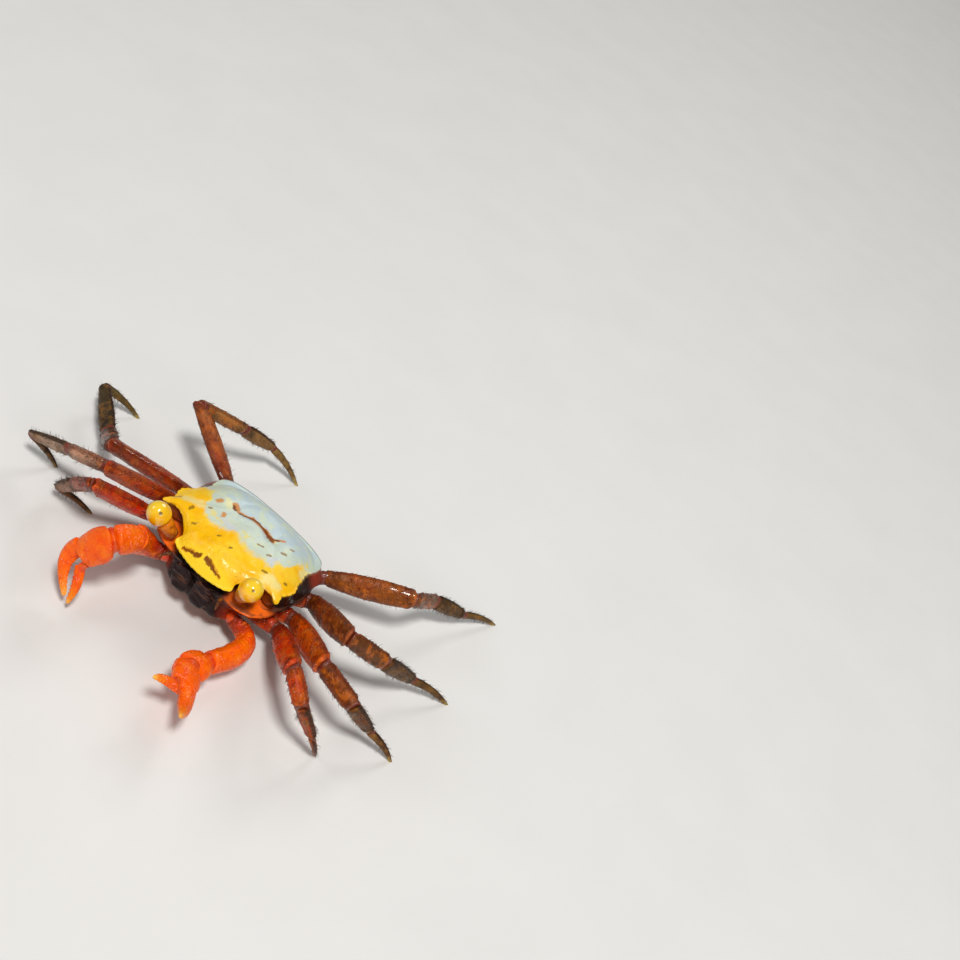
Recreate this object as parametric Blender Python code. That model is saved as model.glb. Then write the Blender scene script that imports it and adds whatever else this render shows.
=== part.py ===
"""A vampire crab at life size, standing as a still museum model.

The crab's own frame has X towards its left side, Y towards its rear and Z up, with Z = 0 at the
level of the carapace margin. Sizes are in millimetres and become metres when a mesh is written.
The finished model stands on Z = 0, with the middle of its footprint at X = Y = 0.
"""

import math

import bmesh
import bpy
from mathutils import Vector

MM = 0.001
GAP = 0.3
FLOOR = -7.5

# Carapace: the half outline from the middle of the front to the middle of the rear.
# Each point has its X, Y, margin height and the share of its reach that the lower edge keeps.
CARAPACE_RIM = (
    (0.00, -6.50, -1.15, 0.84),
    (0.65, -6.48, -1.15, 0.84),
    (1.80, -6.30, -1.12, 0.85),
    (2.85, -6.02, -1.05, 0.86),
    (3.40, -5.65, -0.85, 0.84),
    (3.30, -5.05, -0.45, 0.80),
    (4.15, -4.30, -0.15, 0.68),
    (4.90, -3.80, 0.00, 0.64),
    (5.70, -3.65, 0.05, 0.64),
    (6.35, -3.75, 0.10, 0.68),
    (6.75, -4.05, 0.10, 0.74),
    (7.02, -4.15, 0.10, 0.80),
    (6.95, -3.60, 0.10, 0.90),
    (6.70, -2.85, 0.05, 0.97),
    (6.90, -2.30, 0.05, 1.00),
    (7.05, -1.60, 0.05, 1.01),
    (6.85, -0.95, 0.00, 1.05),
    (6.55, -0.40, -0.05, 1.10),
    (6.35, 0.50, -0.15, 1.14),
    (6.05, 1.50, -0.25, 1.18),
    (6.25, 2.60, -0.40, 1.14),
    (6.25, 3.65, -0.60, 1.07),
    (5.65, 4.70, -0.90, 0.99),
    (4.55, 5.30, -1.10, 0.95),
    (3.20, 5.65, -1.20, 0.92),
    (1.60, 5.80, -1.25, 0.94),
    (0.00, 5.85, -1.25, 0.94),
)
CARAPACE_CENTRE = (0.0, -0.2)
CARAPACE_CROWN = 1.0
CARAPACE_FLOOR = -1.5
CARAPACE_STEPS = (0.22, 0.42, 0.60, 0.74, 0.84, 0.92, 1.0)
FRONT_STEEPNESS = 6.0
SIDE_STEEPNESS = 4.0
REAR_STEEPNESS = 2.6
# Swellings of the carapace: X, Y, reach along X, reach along Y, height.
SWELLINGS = (
    (0.95, -4.95, 0.75, 0.45, 0.18),
    (2.60, -4.80, 0.75, 0.45, 0.16),
    (0.00, -2.00, 2.20, 1.60, 0.22),
    (4.10, 0.60, 1.60, 2.60, 0.25),
    (0.00, 3.20, 1.60, 1.10, 0.18),
)

# Underbody: half outlines at falling levels, from the middle of the front to that of the rear.
UNDERBODY_LEVELS = (
    (-1.8, ((0.0, -4.9), (2.9, -4.75), (2.7, -3.1), (3.6, -2.5), (5.2, -3.0), (6.5, -2.5),
            (7.0, -0.8), (7.1, 1.4), (6.9, 2.8), (5.8, 4.2), (3.8, 4.95), (0.0, 5.25))),
    (-2.35, ((0.0, -5.5), (2.9, -5.35), (4.3, -5.25), (5.7, -4.7), (6.7, -3.5), (7.1, -1.8),
             (7.2, 0.6), (7.1, 1.9), (6.5, 3.1), (4.8, 4.2), (3.4, 4.85), (0.0, 5.1))),
    (-2.8, ((0.0, -5.5), (2.9, -5.4), (4.2, -5.1), (5.4, -4.4), (6.1, -3.3), (6.3, -1.8),
            (6.3, 0.4), (5.8, 1.8), (4.9, 2.9), (4.4, 3.9), (3.4, 4.8), (0.0, 5.05))),
    (-3.15, ((0.0, -5.5), (2.8, -5.4), (4.0, -5.1), (5.1, -4.5), (5.6, -3.5), (5.6, -1.0),
             (5.4, 0.8), (4.85, 2.0), (4.42, 3.0), (4.25, 3.9), (3.2, 4.75), (0.0, 4.95))),
    (-3.6, ((0.0, -5.5), (2.7, -5.4), (3.7, -4.6), (4.3, -3.5), (4.35, -3.0), (4.35, -1.0),
            (4.35, 1.5), (4.2, 3.9), (3.0, 4.7), (0.0, 4.9))),
    (-5.2, ((0.0, -5.5), (2.7, -5.4), (3.7, -4.6), (4.3, -3.5), (4.35, -3.0), (4.35, -1.0),
            (4.35, 1.5), (4.2, 3.9), (3.0, 4.7), (0.0, 4.9))),
    (-5.6, ((0.0, -4.9), (2.2, -4.7), (3.1, -4.0), (3.6, -3.3), (3.7, -2.8), (3.7, -1.0),
            (3.7, 1.5), (3.5, 3.4), (2.4, 4.1), (0.0, 4.4))),
)
UNDERBODY_SPOKES = 44

# Abdomen: a strap folded round the rear and under the body. Y, Z and half width along its middle.
ABDOMEN_PATH = (
    (5.85, -2.1, 2.2),
    (5.66, -2.9, 2.4),
    (5.55, -3.8, 2.45),
    (5.52, -5.0, 2.4),
    (5.05, -6.08, 2.2),
    (3.60, -6.18, 1.9),
    (2.00, -6.18, 1.5),
    (0.00, -6.18, 1.0),
    (-1.40, -6.18, 0.6),
    (-2.40, -6.16, 0.3),
)
ABDOMEN_THICKNESS = 0.5

# Mouth plates: height, centre X and half width at each level, and their place in front of the face.
MOUTH_PLATE = (
    (-2.10, 1.25, 0.70),
    (-2.50, 1.22, 0.95),
    (-3.40, 1.18, 1.00),
    (-4.20, 1.12, 0.92),
    (-4.85, 1.02, 0.62),
)
MOUTH_PLATE_Y = -6.05
MOUTH_PLATE_THICKNESS = 0.5

# Eyes: the stalk's foot and the eye's centre for the left side, then the right eye's own centre.
EYE_RADIUS = 1.08
EYE_LENGTHENING = 1.12
STALK_FOOT = (4.12, -5.00, -1.38)
STALK_RADII = (0.46, 0.60, 0.74)
EYE_CENTRE = {"left": (4.85, -5.40, 0.60), "right": (-5.60, -6.20, 0.60)}

# Antennae: root and tip for the left side.
ANTENNA_ROOT = (3.0, -5.95, -2.15)
ANTENNA_TIP = (3.5, -7.1, -2.35)
ANTENNA_RADII = (0.22, 0.19, 0.09)

# Walking legs: pair, root beside the body, size and the lengths of the five stretches.
LEG_PAIRS = {
    1: {"root": (4.65, -2.2, -4.5), "size": 0.96, "lengths": (2.9, 8.2, 3.6, 3.9, 3.6)},
    2: {"root": (4.65, -0.4, -4.5), "size": 1.00, "lengths": (3.0, 8.6, 4.25, 4.85, 4.15)},
    3: {"root": (4.65, 1.4, -4.4), "size": 1.00, "lengths": (3.1, 9.1, 4.85, 6.1, 5.2)},
    4: {"root": (4.70, 3.35, -4.0), "size": 0.92, "lengths": (2.9, 8.8, 5.25, 5.3, 5.05)},
}
# Pose of each leg: heading of its five stretches, from the crab's left towards its rear, and the
# pitch of the first four. The dactyl's pitch brings its tip to the floor.
LEG_POSE = {
    (1, "right"): ((178, -123, 153, 154, 31), (7, 28, -46, -53)),
    (2, "right"): ((159, -134, 178, 178, 38), (15, 20, -23, -26)),
    (3, "right"): ((156, -157, 132, 141, 45), (13, 7, -29, 4)),
    (4, "right"): ((124, 161, 45, 66, 28), (23, 20, -18, -32)),
    (1, "left"): ((7, -49, -35, 35, 65), (1, 27, -6, -56)),
    (2, "left"): ((13, -39, -9, 54, 29), (4, 24, -6, -48)),
    (3, "left"): ((30, -36, 45, 65, 43), (12, 30, -28, -36)),
    (4, "left"): ((52, 28, 82, 60, 59), (22, 13, -28, -26)),
}
# Half height and half breadth along each stretch.
COXA_FORM = ((0.80, 0.52), (0.84, 0.56), (0.72, 0.50))
MERUS_FORM = ((0.78, 0.55), (1.12, 0.68), (1.26, 0.73), (1.22, 0.72), (1.00, 0.66))
CARPUS_FORM = ((0.80, 0.57), (0.87, 0.59), (0.86, 0.58), (0.79, 0.54))
PROPODUS_FORM = ((0.77, 0.50), (0.84, 0.51), (0.82, 0.50), (0.70, 0.44), (0.50, 0.36))
DACTYL_FORM = ((0.45, 0.34), (0.41, 0.31), (0.33, 0.26), (0.24, 0.20), (0.13, 0.12))
DACTYL_BOW = 0.25
# How far the flat sides turn up from upright: all of each left leg, and from the knee outwards
# some right legs.
LEFT_LEG_ROLL = 0.5
OUTER_ROLL = {(3, "right"): -0.9, (4, "right"): -0.3}
# How far a stretch reaches past its joint on the outside of a bend, where it ends bluntly.
BEND_REACH = 0.50

# Claw arms: root, bend and wrist joints, the hand's knuckle and its fixed tip, the way that the
# movable finger's edge of the hand faces, and the movable finger's own tip.
ARMS = {
    "left": {
        "root": (4.35, -4.40, -4.70),
        "bend": (8.40, -4.00, -5.00),
        "elbow": (6.30, -10.00, -4.70),
        "wrist": (5.90, -12.10, -4.30),
        "knuckle": (7.10, -14.00, -4.05),
        "tip": (9.40, -17.40, -2.60),
        "hand_upward": (-0.75, -0.25, 0.62),
        "finger_tip": (5.55, -16.75, -2.30),
    },
    "right": {
        "root": (-4.35, -4.45, -4.50),
        "bend": (-7.20, -6.00, -4.30),
        "elbow": (-4.99, -9.06, -0.46),
        "wrist": (-5.58, -11.55, 0.24),
        "knuckle": (-7.07, -12.52, -2.34),
        "tip": (-6.19, -14.20, -6.02),
        "hand_upward": (0.88, -0.09, -0.47),
        "finger_tip": (-5.60, -14.30, -6.32),
    },
}
ARM_ROOT_NORMAL = (0.87, -0.5, 0.0)
ARM_FORM = ((0.75, 0.60), (0.98, 0.82), (1.22, 1.02), (1.30, 1.08), (1.12, 1.00))
WRIST_FORM = ((1.08, 0.98), (1.34, 1.14), (1.42, 1.14), (1.32, 1.06))
PALM_FORM = ((1.30, 1.04), (1.50, 1.08), (1.58, 1.10), (1.48, 1.02), (1.24, 0.86))
FIXED_FINGER_FORM = ((0.84, 0.70), (0.70, 0.58), (0.48, 0.42), (0.18, 0.17))
MOVABLE_FINGER_FORM = ((0.44, 0.44), (0.44, 0.42), (0.38, 0.36), (0.29, 0.27), (0.15, 0.14))
FIXED_FINGER_DROP = 0.62
FINGER_RISE = 0.98
FINGER_SETBACK = 0.56

COLOURS = {
    "shell": ((0.95, 0.62, 0.10, 1.0), 0.25),
    "underside": ((0.10, 0.035, 0.045, 1.0), 0.35),
    "eye": ((0.95, 0.60, 0.02, 1.0), 0.08),
    "stalk": ((0.45, 0.16, 0.03, 1.0), 0.30),
    "claw": ((0.95, 0.20, 0.01, 1.0), 0.25),
    "leg": ((0.33, 0.06, 0.025, 1.0), 0.35),
    "toe": ((0.12, 0.05, 0.02, 1.0), 0.45),
}


def clear_scene():
    for thing in list(bpy.data.objects):
        bpy.data.objects.remove(thing, do_unlink=True)


def finish(name, kind):
    """A sub-part's own material, in the colour and gloss of its kind."""
    colour, roughness = COLOURS[kind]
    material = bpy.data.materials.new(name)
    material.use_nodes = True
    shader = material.node_tree.nodes["Principled BSDF"]
    shader.inputs["Base Color"].default_value = colour
    shader.inputs["Roughness"].default_value = roughness
    shader.inputs["Metallic"].default_value = 0.0
    return material


def side_sign(side):
    return 1.0 if side == "left" else -1.0


def heading(azimuth, pitch):
    """Unit direction from a heading and a pitch in degrees."""
    a = math.radians(azimuth)
    p = math.radians(pitch)
    return Vector((math.cos(p) * math.cos(a), math.cos(p) * math.sin(a), math.sin(p)))


def blend_form(form, f):
    """Half height and half breadth at the share f of a stretch, from evenly spaced stations."""
    place = f * (len(form) - 1)
    low = min(int(place), len(form) - 2)
    share = place - low
    return tuple(a + (b - a) * share for a, b in zip(form[low], form[low + 1]))


def loft(name, rings, kind, parts):
    """A closed body through rings of points, with a flat cap on each end."""
    mesh = bmesh.new()
    rows = [[mesh.verts.new(point * MM) for point in ring] for ring in rings]
    count = len(rings[0])
    for low, high in zip(rows, rows[1:]):
        for k in range(count):
            n = (k + 1) % count
            mesh.faces.new((low[k], low[n], high[n], high[k]))
    mesh.faces.new(list(reversed(rows[0])))
    mesh.faces.new(rows[-1])
    bmesh.ops.recalc_face_normals(mesh, faces=mesh.faces)
    data = bpy.data.meshes.new(name)
    mesh.to_mesh(data)
    mesh.free()
    data.shade_smooth()
    data.set_sharp_from_angle(angle=math.radians(40))
    data.materials.append(finish(name, kind))
    thing = bpy.data.objects.new(name, data)
    parts.objects.link(thing)
    return thing


def ring_offsets(height, breadth, across, upward, sides):
    """Offsets of an oval section, a little keeled along its upper edge."""
    offsets = []
    for k in range(sides):
        turn = 2 * math.pi * k / sides
        rise = math.sin(turn)
        width = math.cos(turn) * (1.0 - 0.22 * max(rise, 0.0) ** 2)
        offsets.append(across * (breadth * width) + upward * (height * rise))
    return offsets


def stretch(name, start, end, start_cut, end_cut, across, form, kind, parts, sides=12, rings=6, bow=0.0):
    """A limb's stretch between two joints, cut at each end along the joint's own plane."""
    along = (end - start).normalized()
    length = (end - start).length
    across = (across - along * across.dot(along)).normalized()
    upward = across.cross(along).normalized()
    if upward.z < 0:
        upward.negate()
    bodies = []
    for n in range(rings):
        f = n / (rings - 1)
        height, breadth = blend_form(form, f)
        lift = upward * (bow * 4 * f * (1 - f))
        ring = []
        for offset in ring_offsets(height, breadth, across, upward, sides):
            first = (start_cut[1] - start_cut[0].dot(offset)) / start_cut[0].dot(along)
            last = length - (end_cut[1] + end_cut[0].dot(offset)) / end_cut[0].dot(along)
            first, last = max(first, -BEND_REACH), min(last, length + BEND_REACH)
            ring.append(start + offset + lift + along * (first + (last - first) * f))
        bodies.append(ring)
    return loft(name, bodies, kind, parts)


def sweep(name, path, form, rise, cuts, kind, parts, sides=14):
    """A body along a bent path, square to it but for the planes given for its two ends."""
    count = len(path)
    rings = []
    for n, point in enumerate(path):
        before = path[max(n - 1, 0)]
        after = path[min(n + 1, count - 1)]
        along = (after - before).normalized()
        side = along.cross(rise).normalized()
        upward = side.cross(along).normalized()
        f = n / (count - 1)
        height, breadth = blend_form(form, f)
        start_share = max(0.0, 1.0 - f / 0.35)
        end_share = max(0.0, 1.0 - (1.0 - f) / 0.35)
        ring = []
        for offset in ring_offsets(height, breadth, side, upward, sides):
            shift = start_share * (cuts[0][1] - cuts[0][0].dot(offset)) / cuts[0][0].dot(along)
            shift += end_share * (cuts[1][1] - cuts[1][0].dot(offset)) / cuts[1][0].dot(along)
            ring.append(point + offset + along * shift)
        rings.append(ring)
    return loft(name, rings, kind, parts)


def bezier(a, b, c, count):
    """Points along the curve from a to c that b draws out."""
    points = []
    for n in range(count):
        f = n / (count - 1)
        points.append(a * (1 - f) ** 2 + b * (2 * f * (1 - f)) + c * f ** 2)
    return points


def mirrored(half):
    """A whole outline from its half, which starts and ends on the middle plane."""
    left = list(half)
    right = [(-row[0],) + tuple(row[1:]) for row in reversed(half[1:-1])]
    return left + right


def crown_height(x, y, share, rim):
    """Height of the carapace above its margin level."""
    toward_front = max(0.0, -y) / 6.0
    toward_rear = max(0.0, y) / 6.0
    steep = SIDE_STEEPNESS
    steep += (FRONT_STEEPNESS - SIDE_STEEPNESS) * toward_front ** 2
    steep += (REAR_STEEPNESS - SIDE_STEEPNESS) * toward_rear ** 1.5
    height = CARAPACE_CROWN - (CARAPACE_CROWN - rim) * share ** steep
    for cx, cy, rx, ry, rise in SWELLINGS:
        bump = math.exp(-(((abs(x) - cx) / rx) ** 2 + ((y - cy) / ry) ** 2))
        height += rise * bump * (1.0 - share ** 10)
    return height


def carapace(parts):
    rim = mirrored(CARAPACE_RIM)
    cx, cy = CARAPACE_CENTRE
    rings = []
    for share in CARAPACE_STEPS:
        ring = []
        for x, y, z, tuck in rim:
            px = cx + (x - cx) * share
            py = cy + (y - cy) * share
            ring.append(Vector((px, py, crown_height(px, py, share, z))))
        rings.append(ring)
    for drop, keep in ((0.35, 0.35), (0.75, 0.72), (1.0, 1.0)):
        ring = []
        for x, y, z, tuck in rim:
            reach = 1.0 - (1.0 - tuck) * keep
            level = z + (CARAPACE_FLOOR - z) * drop
            ring.append(Vector((cx + (x - cx) * reach, cy + (y - cy) * reach, level)))
        rings.append(ring)
    loft("carapace", rings, "shell", parts)


def outline_reach(outline, centre, angle):
    """How far an outline lies from a centre in one direction."""
    dx, dy = math.cos(angle), math.sin(angle)
    best = 0.0
    count = len(outline)
    for k in range(count):
        ax, ay = outline[k][0] - centre[0], outline[k][1] - centre[1]
        bx, by = outline[(k + 1) % count][0] - centre[0], outline[(k + 1) % count][1] - centre[1]
        ex, ey = bx - ax, by - ay
        det = dx * ey - dy * ex
        if abs(det) < 1e-9:
            continue
        far = (ax * ey - ay * ex) / det
        along = (ax * dy - ay * dx) / det
        if far > 0 and -1e-9 <= along <= 1 + 1e-9:
            best = max(best, far)
    return best


def underbody(parts):
    rings = []
    for level, half in UNDERBODY_LEVELS:
        outline = mirrored(half)
        ring = []
        for k in range(UNDERBODY_SPOKES):
            angle = 2 * math.pi * k / UNDERBODY_SPOKES
            reach = outline_reach(outline, CARAPACE_CENTRE, angle)
            ring.append(Vector((CARAPACE_CENTRE[0] + reach * math.cos(angle),
                                CARAPACE_CENTRE[1] + reach * math.sin(angle), level)))
        rings.append(ring)
    loft("underbody", rings, "underside", parts)


def abdomen(parts):
    rings = []
    for n, (y, z, half_width) in enumerate(ABDOMEN_PATH):
        before = ABDOMEN_PATH[max(n - 1, 0)]
        after = ABDOMEN_PATH[min(n + 1, len(ABDOMEN_PATH) - 1)]
        along = Vector((0.0, after[0] - before[0], after[1] - before[1])).normalized()
        outward = Vector((1.0, 0.0, 0.0)).cross(along)
        ring = []
        for k in range(12):
            turn = 2 * math.pi * k / 12
            across = math.copysign(abs(math.cos(turn)) ** 0.6, math.cos(turn)) * half_width
            rise = math.sin(turn) * ABDOMEN_THICKNESS / 2
            ring.append(Vector((across, y, z)) + outward * rise)
        rings.append(ring)
    loft("abdomen", rings, "underside", parts)


def mouth_plate(side, parts):
    rings = []
    for z, x, half_width in MOUTH_PLATE:
        ring = []
        for k in range(12):
            turn = 2 * math.pi * k / 12
            across = math.copysign(abs(math.cos(turn)) ** 0.7, math.cos(turn)) * half_width
            ring.append(Vector((side_sign(side) * x + across,
                                MOUTH_PLATE_Y + math.sin(turn) * MOUTH_PLATE_THICKNESS / 2, z)))
        rings.append(ring)
    loft("mouth_plate_" + side, rings, "underside", parts)


def eye_and_stalk(side, parts):
    foot = Vector(STALK_FOOT)
    foot.x *= side_sign(side)
    centre = Vector(EYE_CENTRE[side])
    along = (centre - foot).normalized()
    top = centre - along * (EYE_RADIUS * EYE_LENGTHENING + GAP)
    path = [foot + (top - foot) * (n / 3) for n in range(4)]
    form = [(radius, radius) for radius in STALK_RADII]
    sweep("eyestalk_" + side, path, form, along.orthogonal(), ((along, 0.0), (along, 0.0)), "stalk", parts,
          sides=12)
    ball = bmesh.new()
    bmesh.ops.create_uvsphere(ball, u_segments=18, v_segments=12, radius=EYE_RADIUS * MM)
    for vert in ball.verts:
        vert.co.z *= EYE_LENGTHENING
    data = bpy.data.meshes.new("eye_" + side)
    turn = Vector((0.0, 0.0, 1.0)).rotation_difference(along).to_matrix().to_4x4()
    ball.transform(turn)
    bmesh.ops.translate(ball, verts=ball.verts, vec=centre * MM)
    ball.to_mesh(data)
    ball.free()
    data.shade_smooth()
    data.materials.append(finish("eye_" + side, "eye"))
    parts.objects.link(bpy.data.objects.new("eye_" + side, data))


def antenna(side, parts):
    root = Vector(ANTENNA_ROOT)
    tip = Vector(ANTENNA_TIP)
    root.x *= side_sign(side)
    tip.x *= side_sign(side)
    middle = (root + tip) / 2 + Vector((0.0, 0.0, 0.25))
    path = bezier(root, middle, tip, 5)
    along = (tip - root).normalized()
    form = [(radius, radius) for radius in ANTENNA_RADII]
    cuts = ((along, 0.0), (along, 0.0))
    sweep("antenna_" + side, path, form, along.orthogonal(), cuts, "stalk", parts, sides=8)


def joint_cut(before, after):
    """The plane of a joint halves its bend, and each side keeps half the gap from it."""
    return (before + after).normalized()


def leg_joints(pair, side):
    sizes = LEG_PAIRS[pair]
    headings, pitches = LEG_POSE[(pair, side)]
    root = Vector(sizes["root"])
    root.x *= side_sign(side)
    points = [root]
    for n, length in enumerate(sizes["lengths"]):
        if n < 4:
            pitch = pitches[n]
        else:
            pitch = -math.degrees(math.asin((points[-1].z - FLOOR) / length))
        points.append(points[-1] + heading(headings[n], pitch) * length)
    return points


def leg(pair, side, parts):
    points = leg_joints(pair, side)
    size = LEG_PAIRS[pair]["size"]
    name = "leg" + str(pair) + "_" + side + "_"
    ways = [(b - a).normalized() for a, b in zip(points, points[1:])]
    outward = Vector((side_sign(side), 0.0, 0.0))
    cuts = [outward] + [joint_cut(a, b) for a, b in zip(ways, ways[1:])] + [Vector((0.0, 0.0, -1.0))]
    flat_run = points[5] - points[1]
    flat_run.z = 0.0
    level = flat_run.cross(Vector((0.0, 0.0, 1.0))).normalized()
    bend = ways[1].cross(ways[2]).normalized()
    if bend.dot(level) < 0:
        bend.negate()
    across = (level + bend * 0.5).normalized()
    if side == "left":
        across = (level + Vector((0.0, 0.0, LEFT_LEG_ROLL))).normalized()
    outer_across = across
    if (pair, side) in OUTER_ROLL:
        outer_across = (level + Vector((0.0, 0.0, OUTER_ROLL[(pair, side)]))).normalized()
    forms = (COXA_FORM, MERUS_FORM, CARPUS_FORM, PROPODUS_FORM, DACTYL_FORM)
    names = ("coxa", "merus", "carpus", "propodus", "dactyl")
    finishes = ("leg", "leg", "leg", "toe", "toe")
    for n in range(5):
        form = [(height * size, breadth * size) for height, breadth in forms[n]]
        start_gap = 0.0 if n == 0 else GAP / 2
        end_gap = 0.0 if n == 4 else GAP / 2
        stretch(name + names[n], points[n], points[n + 1], (cuts[n], start_gap), (cuts[n + 1], end_gap),
                across if n < 2 else outer_across, form, finishes[n], parts, rings=(4, 6, 5, 6, 6)[n],
                bow=DACTYL_BOW if n == 4 else 0.0)


def claw(side, parts):
    spots = {key: Vector(value) for key, value in ARMS[side].items()}
    name = "claw_" + side + "_"
    root_normal = Vector(ARM_ROOT_NORMAL)
    root_normal.x *= side_sign(side)
    root_normal.normalize()
    arm_path = bezier(spots["root"], spots["bend"], spots["elbow"], 8)
    arm_way = (arm_path[-1] - arm_path[-2]).normalized()
    wrist_way = (spots["wrist"] - spots["elbow"]).normalized()
    palm_way = (spots["knuckle"] - spots["wrist"]).normalized()
    elbow_cut = joint_cut(arm_way, wrist_way)
    wrist_cut = joint_cut(wrist_way, palm_way)
    hand_side = palm_way.cross(spots["hand_upward"]).normalized()
    sweep(name + "arm", arm_path, ARM_FORM, Vector((0.0, 0.0, 1.0)),
          ((root_normal, 0.0), (elbow_cut, -GAP / 2)), "claw", parts)
    stretch(name + "wrist", spots["elbow"], spots["wrist"], (elbow_cut, GAP / 2), (wrist_cut, GAP / 2),
            hand_side, WRIST_FORM, "claw", parts, sides=14, rings=6)
    hand(name, spots, wrist_cut, palm_way, hand_side, parts)


def hand(name, spots, wrist_cut, palm_way, hand_side, parts):
    """The palm with its fixed finger, and the movable finger set on the palm's far face."""
    upward = hand_side.cross(palm_way).normalized()
    wrist = spots["wrist"]
    knuckle = spots["knuckle"]
    rings = []
    for n in range(6):
        f = n / 5
        height, breadth = blend_form(PALM_FORM, f)
        centre = wrist + (knuckle - wrist) * f
        ring = []
        for offset in ring_offsets(height, breadth, hand_side, upward, 16):
            shift = (GAP / 2 - wrist_cut.dot(offset)) / wrist_cut.dot(palm_way)
            ring.append(centre + offset + palm_way * (shift * (1 - f)))
        rings.append(ring)
    finger_root = knuckle - upward * FIXED_FINGER_DROP + palm_way * 0.10
    reach = (spots["tip"] - finger_root).length
    drawn = finger_root + palm_way * (reach * 0.5) - upward * 0.25
    path = bezier(finger_root, drawn, spots["tip"], 6)
    for n, point in enumerate(path):
        before = path[max(n - 1, 0)]
        after = path[min(n + 1, 5)]
        along = (after - before).normalized()
        rise = hand_side.cross(along).normalized()
        height, breadth = blend_form(FIXED_FINGER_FORM, n / 5)
        rings.append([point + offset for offset in ring_offsets(height, breadth, hand_side, rise, 16)])
    loft(name + "hand", rings, "claw", parts)
    hinge = knuckle + upward * FINGER_RISE + palm_way * (GAP + FINGER_SETBACK)
    way = (spots["finger_tip"] - hinge).normalized()
    drawn = (hinge + spots["finger_tip"]) / 2 + hand_side.cross(way).normalized() * 0.5
    path = bezier(hinge, drawn, spots["finger_tip"], 8)
    root_cut = joint_cut(palm_way, (path[1] - path[0]).normalized())
    along = (path[-1] - path[-2]).normalized()
    sweep(name + "finger", path, MOVABLE_FINGER_FORM, hand_side.cross(way),
          ((root_cut, 0.0), (along, 0.0)), "claw", parts)


def stand_on_floor(parts):
    """Bring the middle of the footprint to X = Y = 0 and the lowest point to Z = 0."""
    corners = [vert.co for thing in parts.objects for vert in thing.data.vertices]
    low = [min(corner[k] for corner in corners) for k in range(3)]
    high = [max(corner[k] for corner in corners) for k in range(3)]
    shift = Vector((-(low[0] + high[0]) / 2, -(low[1] + high[1]) / 2, -low[2]))
    for thing in parts.objects:
        for vert in thing.data.vertices:
            vert.co += shift


def main():
    clear_scene()
    parts = bpy.data.collections.new("vampire_crab")
    bpy.context.scene.collection.children.link(parts)
    carapace(parts)
    underbody(parts)
    abdomen(parts)
    for side in ("left", "right"):
        mouth_plate(side, parts)
        eye_and_stalk(side, parts)
        antenna(side, parts)
        claw(side, parts)
        for pair in LEG_PAIRS:
            leg(pair, side, parts)
    stand_on_floor(parts)


main()
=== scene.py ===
"""Looks of the vampire crab: its shell, limbs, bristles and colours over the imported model.

The crab's own frame has X towards its left side, Y towards its rear and Z up, in millimetres, with
Z = 0 at the level of the carapace margin. Points become metres on the floor when a mesh is written.
"""

import math

import bpy
import numpy as np
from mathutils import Matrix, Vector, noise


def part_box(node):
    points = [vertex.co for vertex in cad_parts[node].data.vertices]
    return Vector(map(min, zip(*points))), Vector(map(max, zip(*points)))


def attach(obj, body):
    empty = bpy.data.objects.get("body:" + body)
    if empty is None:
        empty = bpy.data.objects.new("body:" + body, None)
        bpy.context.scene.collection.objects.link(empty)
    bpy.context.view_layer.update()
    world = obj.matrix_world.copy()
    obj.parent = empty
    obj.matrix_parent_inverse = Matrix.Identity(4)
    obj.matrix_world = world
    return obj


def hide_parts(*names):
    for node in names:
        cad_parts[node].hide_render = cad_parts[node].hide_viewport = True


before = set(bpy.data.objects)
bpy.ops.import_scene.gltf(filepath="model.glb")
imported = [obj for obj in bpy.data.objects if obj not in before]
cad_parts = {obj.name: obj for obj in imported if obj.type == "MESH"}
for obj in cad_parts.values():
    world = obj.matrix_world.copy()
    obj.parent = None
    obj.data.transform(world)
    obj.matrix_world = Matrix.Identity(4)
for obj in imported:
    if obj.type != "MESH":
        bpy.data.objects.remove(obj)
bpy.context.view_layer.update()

SHELL_LOW, SHELL_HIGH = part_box("carapace")
MM = 0.001
GAP = 0.3
FLOOR = -7.5
FRONT_REACH = 6.50
SHIFT = Vector(((SHELL_LOW.x + SHELL_HIGH.x) * 500.0, SHELL_LOW.y * 1000.0 + FRONT_REACH, -FLOOR))

# Carapace outline: X, Y, margin height and the share of its reach that the lower edge keeps.
CARAPACE_RIM = (
    (0.0, -6.5, -1.15, 0.84), (0.65, -6.48, -1.15, 0.84), (1.8, -6.3, -1.12, 0.85),
    (2.85, -6.02, -1.05, 0.86), (3.4, -5.65, -0.85, 0.84), (3.3, -5.05, -0.45, 0.8),
    (4.15, -4.3, -0.15, 0.68), (4.9, -3.8, 0.0, 0.64), (5.7, -3.65, 0.05, 0.64),
    (6.35, -3.75, 0.1, 0.68), (6.75, -4.05, 0.1, 0.74), (7.02, -4.15, 0.1, 0.8),
    (6.95, -3.6, 0.1, 0.9), (6.7, -2.85, 0.05, 0.97), (6.9, -2.3, 0.05, 1.0),
    (7.05, -1.6, 0.05, 1.01), (6.85, -0.95, 0.0, 1.05), (6.55, -0.4, -0.05, 1.1),
    (6.35, 0.5, -0.15, 1.14), (6.05, 1.5, -0.25, 1.18), (6.25, 2.6, -0.4, 1.14),
    (6.25, 3.65, -0.6, 1.07), (5.65, 4.7, -0.9, 0.99), (4.55, 5.3, -1.1, 0.95),
    (3.2, 5.65, -1.2, 0.92), (1.6, 5.8, -1.25, 0.94), (0.0, 5.85, -1.25, 0.94),
)
CARAPACE_CENTRE = (0.0, -0.2)
CARAPACE_CROWN = 1.0
CARAPACE_FLOOR = -1.5
FRONT_STEEPNESS = 6.0
SIDE_STEEPNESS = 4.0
REAR_STEEPNESS = 2.6
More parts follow.
